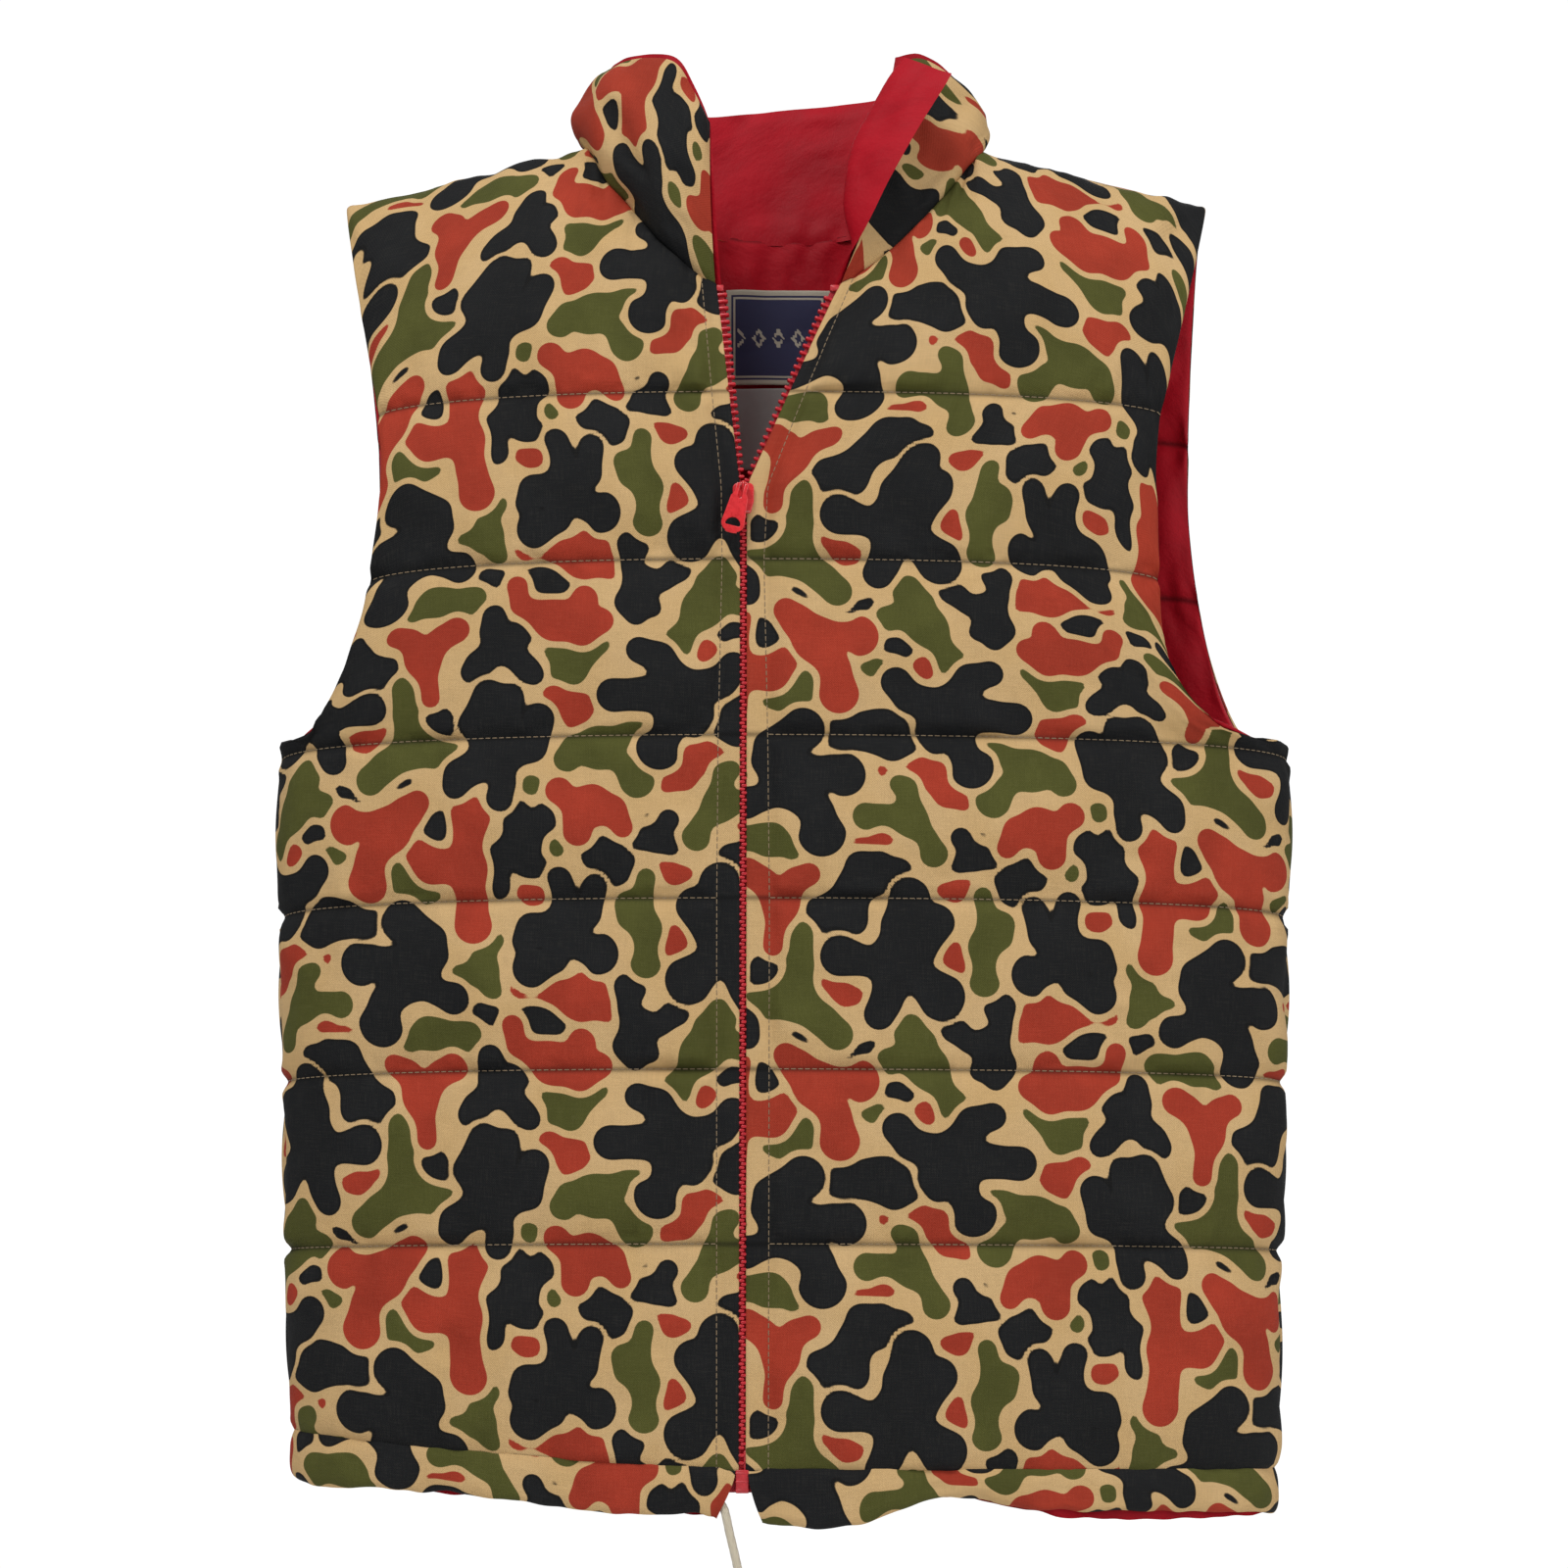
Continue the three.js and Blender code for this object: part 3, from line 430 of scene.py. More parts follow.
BODY_HALF_WIDTH_TOP = 0.256
BODY_HALF_WIDTH_HEM = 0.243
FRONT_DEPTH = 0.056
BACK_DEPTH = 0.060
SIDE_ROUNDNESS = 2.4
HEM_Z = -0.686
CASING_HEIGHT = 0.021
CASING_Z = HEM_Z + CASING_HEIGHT
NECK_HALF_WIDTH = 0.100
SHOULDER_TIP_X = 0.219
SHOULDER_REACH = {-1: 0.227, 1: 0.219}
SHOULDER_TIP_Z = -0.030
FRONT_SHOULDER_ROLL = 0.180
BACK_SHOULDER_ROLL = 0.110
FRONT_NECK_Z = -0.083
BACK_NECK_Z = -0.034
UNDERARM_Z = -0.312
UNDERARM_ROUND = 0.006
UNDERARM_ROUND_HEIGHT = 0.004
SIDE_SEAM_TOP_Z = UNDERARM_Z - 0.004
ARMHOLE_WAIST_Z = -0.180
ARMHOLE_RISE = 1.6
FRONT_ARMHOLE_X = {-1: 0.201, 1: 0.1855}
BACK_ARMHOLE_X = 0.2145
FRONT_SCOOP = {-1: 1.7, 1: 5.5}
BACK_SCOOP = 1.5
LINE_HEIGHTS = [-0.139, -0.223, -0.310, -0.390, -0.473, -0.557, CASING_Z]
QUILT_SAG = 0.009
HEM_CORNER_LIFT = 0.018
EDGE_EASE = 0.030
PUFF = 0.0105
COLLAR_PUFF = 0.0065
ZIP_X = -0.020
ZIP_HALF_OPENING = 0.0019
ZIP_PART_Z = -0.187
OPEN_NECK_X = {-1: -0.034, 1: 0.028}
NECK_POINT_SHARE = 0.33


def lerp(start, end, share):
    return start + (end - start) * share


def unit(vectors):
    return vectors / np.linalg.norm(vectors, axis=-1, keepdims=True)


def lengths_along(line):
    """How far along a line each of its points is."""
    return np.concatenate([[0], np.cumsum(np.linalg.norm(np.diff(line, axis=0), axis=1))])


def at_lengths(stops, lengths, line):
    """The points of a line at those lengths along it."""
    return np.stack([np.interp(stops, lengths, line[:, k]) for k in range(3)], axis=1)


def by_hand(values, hand):
    """The right side's value or the left side's, for one hand or for many."""
    return np.where(hand < 0, values[-1], values[1])


def body_half_width(z):
    down = np.clip((z - UNDERARM_Z) / (HEM_Z - UNDERARM_Z), 0, 1)
    return lerp(BODY_HALF_WIDTH_TOP, BODY_HALF_WIDTH_HEM, down)


def wall_y(x, z, side):
    """The middle of the wall's thickness, in front (side -1) or behind (side 1)."""
    depth = FRONT_DEPTH if side < 0 else BACK_DEPTH
    roll = FRONT_SHOULDER_ROLL if side < 0 else BACK_SHOULDER_ROLL
    past_neck = np.maximum(0, np.abs(x) - NECK_HALF_WIDTH)
    shoulder = SHOULDER_TIP_Z * past_neck / (SHOULDER_TIP_X - NECK_HALF_WIDTH)
    down = np.clip((shoulder - z) / roll, 0, 1)
    across = np.clip(np.abs(x) / body_half_width(z), 0, 1)
    rolled = np.sqrt(1 - (1 - down) ** 2)
    rounded = (1 - across ** SIDE_ROUNDNESS) ** (1 / SIDE_ROUNDNESS)
    return side * depth * rolled * rounded


def side_x(z, waist_x, tip_x, scoop):
    """How far out the panel reaches: the armhole's edge above the underarm, and the side seam below."""
    upper = np.clip((z - ARMHOLE_WAIST_Z) / (SHOULDER_TIP_Z - ARMHOLE_WAIST_Z), 0, 1)
    lower = np.clip((ARMHOLE_WAIST_Z - z) / (ARMHOLE_WAIST_Z - UNDERARM_Z), 0, 1)
    above = lerp(waist_x, tip_x, upper ** ARMHOLE_RISE)
    below = lerp(waist_x, BODY_HALF_WIDTH_TOP - UNDERARM_ROUND, 1 - np.sqrt(1 - lower ** scoop))
    edge = np.where(z > ARMHOLE_WAIST_Z, above, below)
    rounding = UNDERARM_ROUND * np.exp(np.minimum(0, z - UNDERARM_Z) / UNDERARM_ROUND_HEIGHT)
    return np.where(z > UNDERARM_Z, edge, body_half_width(z) - rounding)


def front_side_x(z, hand):
    return hand * side_x(z, FRONT_ARMHOLE_X[hand], SHOULDER_REACH[hand], FRONT_SCOOP[hand])


def back_side_x(z, hand):
    return hand * side_x(z, BACK_ARMHOLE_X, by_hand(SHOULDER_REACH, hand), BACK_SCOOP)


def front_edge_x(z, hand):
    """Beside the zip: straight up to the slider, then out to the open neck."""
    share = np.maximum(0, (z - ZIP_PART_Z) / (FRONT_NECK_Z - ZIP_PART_Z))
    return lerp(ZIP_X + hand * ZIP_HALF_OPENING, by_hand(OPEN_NECK_X, hand), share)


def hem_lift(x, z):
    """The hem hangs level except at its right corner, which rides up."""
    low = np.clip((LINE_HEIGHTS[-2] - z) / (LINE_HEIGHTS[-2] - CASING_Z), 0, 1)
    aside = np.clip(-x / BODY_HALF_WIDTH_HEM, 0, 1)
    return HEM_CORNER_LIFT * low ** 1.3 * aside ** 1.6


def spread(share):
    return np.sin(share * np.pi / 2)


def shoulder_line(share, hand):
    start = spread(NECK_POINT_SHARE)
    along = (spread(share) - start) / (1 - start)
    return hand * lerp(NECK_HALF_WIDTH, by_hand(SHOULDER_REACH, hand), along), SHOULDER_TIP_Z * along


def front_top(share, hand):
    """Along the neckline from the zip to the neck point, then along the shoulder seam."""
    along = np.clip(share / NECK_POINT_SHARE, 0, 1)
    neck_x = lerp(OPEN_NECK_X[hand], hand * NECK_HALF_WIDTH, 1 - (1 - along) ** 1.25)
    neck_z = FRONT_NECK_Z * (1 - along ** 1.2)
    shoulder_x, shoulder_z = shoulder_line(share, hand)
    on_neck = share <= NECK_POINT_SHARE
    return np.where(on_neck, neck_x, shoulder_x), np.where(on_neck, neck_z, shoulder_z)


def front_line(line, share, hand):
    z = line - QUILT_SAG * share ** 2
    return lerp(front_edge_x(z, hand), front_side_x(z, hand), spread(share)), z


def back_top(share):
    size = np.abs(share)
    hand = np.sign(share)
    along = np.clip(size / NECK_POINT_SHARE, 0, 1)
    shoulder_x, shoulder_z = shoulder_line(size, hand)
    on_neck = size <= NECK_POINT_SHARE
    x = np.where(on_neck, hand * NECK_HALF_WIDTH * along, shoulder_x)
    return x, np.where(on_neck, BACK_NECK_Z * (1 - along ** 2.4), shoulder_z)


def back_line(line, share):
    z = line - QUILT_SAG * share ** 2
    return back_side_x(z, np.sign(share)) * spread(np.abs(share)), z


# ---- Panels as grids of points ----

CELL = 0.0055
CHANNEL_STEPS = [24] + [round((upper - lower) / CELL) for upper, lower in zip(LINE_HEIGHTS, LINE_HEIGHTS[1:])]
PLACKET_COLUMNS = 2


class Grid:
    """A panel's middle surface: points, outward normals, place in the channel, and flat cloth coordinates."""

    def __init__(self, points, row_shares, seam_rows, side):
        self.points = points
        self.row_shares = row_shares
        self.seam_rows = seam_rows
        across = np.gradient(points, axis=1)
        down = np.gradient(points, axis=0)
        normals = np.cross(across, down)
        normals /= np.linalg.norm(normals, axis=2, keepdims=True) + 1e-12
        self.normals = normals * np.sign((normals @ np.array([0.0, side, 0.2])).sum())
        steps_across = np.linalg.norm(np.diff(points, axis=1), axis=2)
        steps_down = np.linalg.norm(np.diff(points, axis=0), axis=2)
        u = np.concatenate([np.zeros((points.shape[0], 1)), np.cumsum(steps_across, axis=1)], axis=1)
        v = np.concatenate([np.zeros((1, points.shape[1])), np.cumsum(steps_down, axis=0)], axis=0)
        self.cloth = np.stack([u, v[-1:] - v], axis=2)


def even_shares(curve, start, end, count):
    """Shares that cut a curve into steps of equal length."""
    fine = np.linspace(start, end, 800)
    lengths = lengths_along(curve(fine))
    return np.interp(np.linspace(0, lengths[-1], count + 1), lengths, fine)


def eased(x, column, edge_x):
    """A row moved so that it ends on the panel's edge, by less and less away from there."""
    return x + (edge_x - x[column]) * np.exp(-np.abs(x - x[column]) / EDGE_EASE)


def panel_grid(top, line, start, end, side):
    """A panel from its top outline, its quilt lines and the shares between which it reaches."""

    def mid_curve(share):
        x, z = line(LINE_HEIGHTS[3], share)
        return np.stack([x, wall_y(x, z, side), z], axis=1)

    length = lengths_along(mid_curve(np.linspace(start, end, 400)))[-1]
    shares = even_shares(mid_curve, start, end, round(length / CELL))
    outline = [top(shares)] + [line(height, shares) for height in LINE_HEIGHTS]
    rows = []
    row_shares = []
    seam_rows = [0]
    for upper, lower in zip(outline[:-1], outline[1:]):
        count = CHANNEL_STEPS[len(seam_rows) - 1]
        for step in range(0 if not rows else 1, count + 1):
            share = step / count
            x = lerp(upper[0], lower[0], share)
            z = lerp(upper[1], lower[1], share)
            if side < 0 and z[0] < FRONT_NECK_Z:
                x = eased(x, 0, front_edge_x(z[0], np.sign(x[-1])))
            below_shoulder = len(seam_rows) > 1
            if below_shoulder and side < 0:
                x = eased(x, -1, front_side_x(z[-1], int(np.sign(x[-1]))))
            if below_shoulder and side > 0:
                x = eased(x, 0, back_side_x(z[0], -1))
                x = eased(x, -1, back_side_x(z[-1], 1))
            rows.append(np.stack([x, wall_y(x, z, side), z + hem_lift(x, z)], axis=1))
            row_shares.append(share)
        seam_rows.append(len(rows) - 1)
    return Grid(np.array(rows), np.array(row_shares), seam_rows, side)


def refined(values, row_times, column_times):
    """A grid of values with more rows and columns, along smooth curves through the old ones."""
    for axis, times in ((0, row_times), (1, column_times)):
        values = np.moveaxis(values, axis, 0)
        count = values.shape[0]
        place = np.arange((count - 1) * times + 1) / times
        low = np.minimum(np.floor(place).astype(int), count - 2)
        t = (place - low).reshape((-1,) + (1,) * (values.ndim - 1))
        before = values[np.maximum(low - 1, 0)]
        first = values[low]
        second = values[low + 1]
        after = values[np.minimum(low + 2, count - 1)]
        cubic = 3 * (first - second) + after - before
        square = 2 * before - 5 * first + 4 * second - after
        values = first + 0.5 * t * (second - before + t * (square + t * cubic))
        values = np.moveaxis(values, 0, axis)
    return values


def smooth_noise(shape, seed, row_cells, column_cells=None):
    """Noise over a grid, soft at that scale, with mean 0 and deviation 1."""
    rng = np.random.default_rng(seed)
    margin = int(4 * max(row_cells, column_cells or 0))
    field = rng.normal(size=(shape[0] + margin, shape[1] + margin))
    field = soften(field, row_cells, column_cells)[:shape[0], :shape[1]]
    return (field - field.mean()) / field.std()


# ---- Cloth simulation ----

SIMULATION_FRAMES = 20
PRESSURE = 4.0
SPARE_LENGTH = 0.055
SPARE_WIDTH = 0.025
MOST_MOVE = 0.014
MOST_SLIDE = 0.004
LEAST_HEIGHT = 0.0004


def mesh_of(name, points, corners, sizes):
    """A mesh from its points, the corners of all its faces in one row, and each face's number of corners."""
    mesh = bpy.data.meshes.new(name)
    mesh.vertices.add(len(points))
    mesh.vertices.foreach_set("co", points.reshape(-1))
    mesh.loops.add(len(corners))
    mesh.loops.foreach_set("vertex_index", corners)
    mesh.polygons.add(len(sizes))
    mesh.polygons.foreach_set("loop_start", np.concatenate([[0], np.cumsum(sizes)[:-1]]))
    mesh.polygons.foreach_set("loop_total", sizes)
    mesh.update(calc_edges=True)
    mesh.validate()
    return mesh


def grid_mesh(name, points):
    """A mesh of quads over a grid of points."""
    rows, columns = points.shape[:2]
    index = np.arange(rows * columns).reshape(rows, columns)
    quads = np.stack([index[:-1, :-1], index[1:, :-1], index[1:, 1:], index[:-1, 1:]], axis=2)
    return mesh_of(name, points.reshape(-1, 3), quads.reshape(-1), np.full(quads[..., 0].size, 4))


def start_cloth(name, points, pinned, normals):
    """A temporary cloth object over the grid, with spare cloth to blow out."""
    mesh = grid_mesh(name, points)
    obj = bpy.data.objects.new(name, mesh)
    scene.collection.objects.link(obj)
    facing = mesh.polygons[len(mesh.polygons) // 2].normal
    middle = normals[normals.shape[0] // 2, normals.shape[1] // 2]
    if facing.dot(Vector(middle)) < 0:
        mesh.flip_normals()
    obj.shape_key_add(name="Basis")
    slack = obj.shape_key_add(name="slack")
    scale = np.array([1 + SPARE_WIDTH, 1 + SPARE_WIDTH, 1 + SPARE_LENGTH])
    slack.data.foreach_set("co", (points * scale).reshape(-1))
    group = obj.vertex_groups.new(name="sewn")
    group.add([int(k) for k in np.flatnonzero(pinned.reshape(-1))], 1.0, "REPLACE")
    cloth = obj.modifiers.new("cloth", "CLOTH")
    settings = cloth.settings
    settings.quality = 6
    settings.mass = 0.12
    settings.tension_stiffness = 25
    settings.compression_stiffness = 12
    settings.shear_stiffness = 8
    settings.bending_stiffness = 0.15
    settings.air_damping = 2
    settings.use_pressure = True
    settings.uniform_pressure_force = PRESSURE
    settings.vertex_group_mass = "sewn"
    settings.rest_shape_key = slack
    settings.effector_weights.gravity = 0.0
    cloth.point_cache.frame_start = 1
    cloth.point_cache.frame_end = SIMULATION_FRAMES + 2
    return obj


def run_cloths(waiting):
    """Steps all the cloths together and returns where their points went."""
    for step in range(1, SIMULATION_FRAMES + 1):
        scene.frame_set(step)
    graph = bpy.context.evaluated_depsgraph_get()
    found = {}
    for name, obj in waiting.items():
        mesh = obj.evaluated_get(graph).to_mesh()
        places = np.empty(len(mesh.vertices) * 3)
        mesh.vertices.foreach_get("co", places)
        found[name] = places.reshape(-1, 3)
    for obj in waiting.values():
        mesh = obj.data
        bpy.data.objects.remove(obj)
        bpy.data.meshes.remove(mesh)
    scene.frame_set(1)
    return found


# ---- Layers: the shell outside and the lining inside, blown out between the sewn lines ----

# The pillow's section: cells from a seam to full height, and how soon it fills near its lower or upper seam
PILLOW_CELLS = 7.5
PILLOW_SEARCH_CELLS = 12
FAR_CELLS = 30.0
FULLNESS_NEAR_LOWER_SEAM = 1.3
FULLNESS_NEAR_UPPER_SEAM = 0.85
BUMP_SHARE = 0.14
DENT_HEIGHT = 0.0006
# Where the simulation starts
START_GAP = 0.0008
START_SHARE = 0.45
START_DENT = 0.0007
# Fine shape added after the simulation
PUCKER_HEIGHT = 0.0009
PUCKER_REACH = 0.011
PUCKER_GAP = 0.0012
CREASE_HEIGHT = 0.00012
RUMPLE_HEIGHT = 0.00042
VALLEY_DEPTH = 0.0004
VALLEY_WIDTH = 0.0011


def seam_distance(grid, rows):
    """How far each row of a surface with so many rows is from the nearest seam of its grid."""
    times = (rows - 1) // (grid.points.shape[0] - 1)
    seams = np.array(grid.seam_rows) * times
    return np.abs(np.arange(rows)[:, None] - seams[None]).min(axis=1) * CELL / times


class Layer:
    """One cloth of a panel: which points are sewn, where they sit, and how far the rest may go."""

    def __init__(self, name, grid, outside, puff, sewn, sewn_offset, seed):
        self.name = name
        self.grid = grid
        self.sign = 1 if outside else -1
        self.sewn = sewn
        self.profile = self.free_profile()
        bumps = smooth_noise(sewn.shape, seed, 3.0, 4.0)
        dents = smooth_noise(sewn.shape, seed + 50, 1.6, 1.4)
        full = puff * self.profile * (1 + BUMP_SHARE * bumps) + DENT_HEIGHT * dents
        partly = START_GAP + START_SHARE * puff * self.profile + START_DENT * dents
        self.heights = np.where(sewn, sewn_offset, full)
        self.start = np.where(sewn, sewn_offset, partly)
        self.slide = np.zeros_like(grid.points)

    def free_profile(self):
        """0 at a sewn point, rising towards 1 a few cells away, as a pillow's section does."""
        near = np.where(self.sewn, 0.0, FAR_CELLS)
        for _ in range(PILLOW_SEARCH_CELLS):
            wider = np.pad(near, 1, mode="edge")
            neighbours = [wider[:-2, 1:-1], wider[2:, 1:-1], wider[1:-1, :-2], wider[1:-1, 2:]]
            near = np.minimum(near, np.minimum.reduce(neighbours) + 1)
        rows = np.arange(near.shape[0])
        seams = np.array(self.grid.seam_rows)
        nearest = seams[np.abs(rows[:, None] - seams[None]).argmin(axis=1)]
        fullness = np.where(nearest > rows, FULLNESS_NEAR_LOWER_SEAM, FULLNESS_NEAR_UPPER_SEAM)
        share = np.clip(near * fullness[:, None] / PILLOW_CELLS, 0, 1)
        return np.sqrt(1 - (1 - share) ** 2)

    def starting_points(self):
        return self.grid.points + self.grid.normals * (self.sign * self.start)[..., None]

    def take(self, places):
        """Keeps what the simulation found, within the most that the cloth may move."""
        moved = places.reshape(self.grid.points.shape) - self.grid.points
        heights = (moved * self.grid.normals).sum(axis=2) * self.sign
        slide = moved - self.grid.normals * (heights * self.sign)[..., None]
        size = np.linalg.norm(slide, axis=2, keepdims=True)
        self.slide = slide * np.minimum(1, MOST_SLIDE / (size + 1e-9))
        self.heights = np.where(self.sewn, self.start, np.clip(heights, LEAST_HEIGHT, MOST_MOVE))

    def surface(self, row_times, column_times, seed):
        """The finished surface: fine points, their flat coordinates, and fine puckers beside the seams."""
        grid = self.grid
        rough = grid.points + grid.normals * (self.sign * self.heights)[..., None] + self.slide
        points = refined(rough, row_times, column_times)
        cloth = refined(grid.cloth, row_times, column_times)
        normals = unit(refined(grid.normals, row_times, column_times))
        shape = points.shape[:2]
        away = seam_distance(grid, shape[0])
        pucker = smooth_noise(shape, seed, 5.0 * row_times / 3, 0.56 * column_times)
        crease = smooth_noise(shape, seed + 9, 3.2, 2.2)
        rumple = smooth_noise(shape, seed + 17, 3.0 * row_times, 1.3 * column_times)
        beside_seam = np.exp(-away / PUCKER_REACH) * (1 - np.exp(-away / PUCKER_GAP))
        fine = PUCKER_HEIGHT * pucker * beside_seam[:, None] + CREASE_HEIGHT * crease + RUMPLE_HEIGHT * rumple
        valley = -VALLEY_DEPTH * np.exp(-(away / VALLEY_WIDTH) ** 2)
        free = refined(self.profile, row_times, column_times).clip(0, 1)
        fine *= np.clip(free * 2.5 + 0.1, 0, 1)
        lift = fine + valley[:, None] * np.clip(free.max(axis=0)[None] * 2, 0, 1)
        return points + normals * (self.sign * lift)[..., None], cloth, normals * self.sign


def sewn_places(grid, left_columns):
    """Which points are held: the quilt lines, the top and bottom rows, and columns at each side."""
    sewn = np.zeros(grid.points.shape[:2], bool)
    sewn[grid.seam_rows, :] = True
    sewn[:, :left_columns] = True
    sewn[:, -1] = True
    return sewn


GRIDS = {
    name: panel_grid(partial(front_top, hand=hand), partial(front_line, hand=hand), 0, 1, -1)
    for hand, name in ((-1, "front_right"), (1, "front_left"))
}
GRIDS["back"] = panel_grid(back_top, back_line, -1, 1, 1)
SIDE_COLUMNS = {"front_right": [-1], "front_left": [-1], "back": [0, -1]}
SEWN_OFFSET = 0.0009
SIDE_SEAM_BULGE = 0.0045
PLACKET_OFFSET = 0.0019
PLACKET_SEAM_OFFSET = 0.0011
PLACKET_RIPPLE = 0.0003
LINING_PUFF_SHARE = 0.8


def turn_side_normals(grid, columns):
    """Where panels meet at the side seam, both face straight out, so that they stay together."""
    for column in columns:
        x = grid.points[:, column, 0]
        below = grid.points[:, column, 2] < UNDERARM_Z
        grid.normals[below, column] = np.stack([np.sign(x[below]), 0 * x[below], 0 * x[below]], axis=1)


def sewn_offsets(grid, side_columns, placket):
    """How far the shell's held points stand off the panel's middle surface."""
    offsets = np.full(grid.points.shape[:2], SEWN_OFFSET)
    bulge = SIDE_SEAM_BULGE * np.sin(np.pi * grid.row_shares)
    below = grid.points[:, side_columns[0], 2] < SIDE_SEAM_TOP_Z
    for column in side_columns:
        offsets[:, column] += np.where(below, bulge, 0)
    if placket:
        rows = grid.points.shape[0]
        offsets[:, :placket + 1] = PLACKET_OFFSET
        offsets[:, placket] = PLACKET_SEAM_OFFSET + PLACKET_RIPPLE * np.sin(np.arange(rows) * 0.6)
    return offsets


def panel_layers():
    layers = []
    for number, (panel, grid) in enumerate(GRIDS.items()):
        sides = SIDE_COLUMNS[panel]
        turn_side_normals(grid, sides)
        placket = 0 if panel == "back" else PLACKET_COLUMNS
        held = sewn_places(grid, placket + 1)
        shell_offsets = sewn_offsets(grid, sides, placket)
        lining_offsets = np.full(held.shape, SEWN_OFFSET)
        lining_puff = PUFF * LINING_PUFF_SHARE
        layers.append(Layer(f"{panel}_shell", grid, True, PUFF, held, shell_offsets, 10 + number))
        layers.append(Layer(f"{panel}_lining", grid, False, lining_puff, held, lining_offsets, 20 + number))
    return layers


LAYERS = panel_layers()

# ---- Collar: one padded strip round the neck, cut in three where the wings fold ----

WING_SHARE = 0.24
# Share along the neckline from the right front to the left front, then the middle and the top of the collar.
# The left wing folds outward where its middle and top turn back on themselves.
COLLAR_SHAPE = [
    (0.00, (-0.0365, -0.0570, -0.0430), (-0.0375, -0.0520, -0.0020)),
    (0.05, (-0.0510, -0.0565, -0.0300), (-0.0455, -0.0510, 0.0150)),
    (0.10, (-0.0670, -0.0520, -0.0160), (-0.0545, -0.0460, 0.0310)),
    (0.15, (-0.0830, -0.0420, -0.0030), (-0.0680, -0.0370, 0.0370)),
    (0.20, (-0.0970, -0.0260, 0.0100), (-0.0830, -0.0230, 0.0395)),
    (0.25, (-0.1045, -0.0020, 0.0180), (-0.0930, 0.0000, 0.0405)),
    (0.30, (-0.0880, 0.0300, 0.0140), (-0.0820, 0.0270, 0.0410)),
    (0.35, (-0.0640, 0.0410, 0.0090), (-0.0610, 0.0400, 0.0370)),
    (0.40, (-0.0420, 0.0460, 0.0030), (-0.0410, 0.0450, 0.0320)),
    (0.50, (0.0000, 0.0480, 0.0020), (0.0000, 0.0490, 0.0370)),
    (0.60, (0.0420, 0.0460, 0.0060), (0.0430, 0.0470, 0.0410)),
    (0.65, (0.0630, 0.0410, 0.0110), (0.0620, 0.0400, 0.0430)),
    (0.70, (0.0860, 0.0300, 0.0140), (0.0810, 0.0250, 0.0410)),
    (0.75, (0.1040, -0.0020, 0.0130), (0.0970, -0.0010, 0.0270)),
    (0.79, (0.0950, -0.0220, 0.0020), (0.0850, -0.0160, 0.0360)),
    (0.83, (0.0800, -0.0330, -0.0120), (0.0700, -0.0280, 0.0400)),
    (0.87, (0.0610, -0.0380, -0.0240), (0.0570, -0.0380, 0.0340)),
    (0.93, (0.0325, -0.0450, -0.0290), (0.0610, -0.0490, 0.0300)),
    (1.00, (0.0490, -0.0600, -0.0360), (0.0800, -0.0590, 0.0190)),
]
COLLAR_LENGTH = 0.44
COLLAR_ROWS = 16
COLLAR_LIP = 0.0030


def collar_base(share):
    """The neck seam, from the right front round the back to the left front."""
    from_front = 1 - np.abs(share - 0.5) * 2
    places = []
    for one, front in zip(share, from_front):
        hand = -1 if one < 0.5 else 1
        if front <= 0.5:
            x, z = front_top(np.array([NECK_POINT_SHARE * front / 0.5]), hand)
            y = wall_y(x, z, -1)
        else:
            x, z = back_top(np.array([hand * NECK_POINT_SHARE * (1 - front) / 0.5]))
            y = wall_y(x, z, 1)
        places.append([x[0], y[0], z[0]])
    return np.array(places)


def through(start, middle, end, share):
    """A curve through three places, at a share of the way from the first to the last."""
    first = start * (1 - share) * (1 - 2 * share)
    second = middle * 4 * share * (1 - share)
    return first + second + end * share * (2 * share - 1)


def collar_grid():
    """The collar's grid and the share along the neck seam of each column."""
    shares = even_shares(collar_base, 0.0, 1.0, round(COLLAR_LENGTH / CELL))
    base = collar_base(shares)
    stations = np.array([(share, *middle, *top) for share, middle, top in COLLAR_SHAPE])
    dense = refined(np.repeat(stations[:, None], 2, axis=1), 30, 1)[:, 0]
    middle, top = (at_lengths(shares, dense[:, 0], places) for places in (dense[:, 1:4], dense[:, 4:]))
    heights = np.linspace(0, 1, COLLAR_ROWS + 1)
    points = np.stack([through(base, middle, top, height) for height in heights])
    grid = Grid(points, heights, [0, COLLAR_ROWS], 1)
    middle_normals = grid.normals[:, grid.normals.shape[1] // 2]
    grid.normals *= np.sign(middle_normals[:, 1].sum())
    return grid, shares


COLLAR, COLLAR_SHARES = collar_grid()
COLLAR_HELD = sewn_places(COLLAR, 1)
COLLAR_OFFSETS = np.full(COLLAR_HELD.shape, SEWN_OFFSET)
LAYERS += [
    Layer("collar_shell", COLLAR, True, COLLAR_PUFF, COLLAR_HELD, COLLAR_OFFSETS, 30),
    Layer("collar_lining", COLLAR, False, COLLAR_PUFF * LINING_PUFF_SHARE, COLLAR_HELD, COLLAR_OFFSETS, 31),
]

# ---- Simulate ----


def simulate():
    waiting = {}
    for layer in LAYERS:
        outward = layer.grid.normals * layer.sign
        waiting[layer.name] = start_cloth(f"{layer.name}_cloth", layer.starting_points(), layer.sewn, outward)
    found = run_cloths(waiting)
    for layer in LAYERS:
        layer.take(found[layer.name])


def finished_surfaces():
    """Every layer's fine surface, the shells with more columns than the linings."""
    surfaces = {}
    for number, layer in enumerate(LAYERS):
        fine = layer.name.endswith("shell")
        row_times = 3 if fine and not layer.name.startswith("back") else 2
        surfaces[layer.name] = layer.surface(row_times, 3 if fine else 2, 60 + number)
    return surfaces


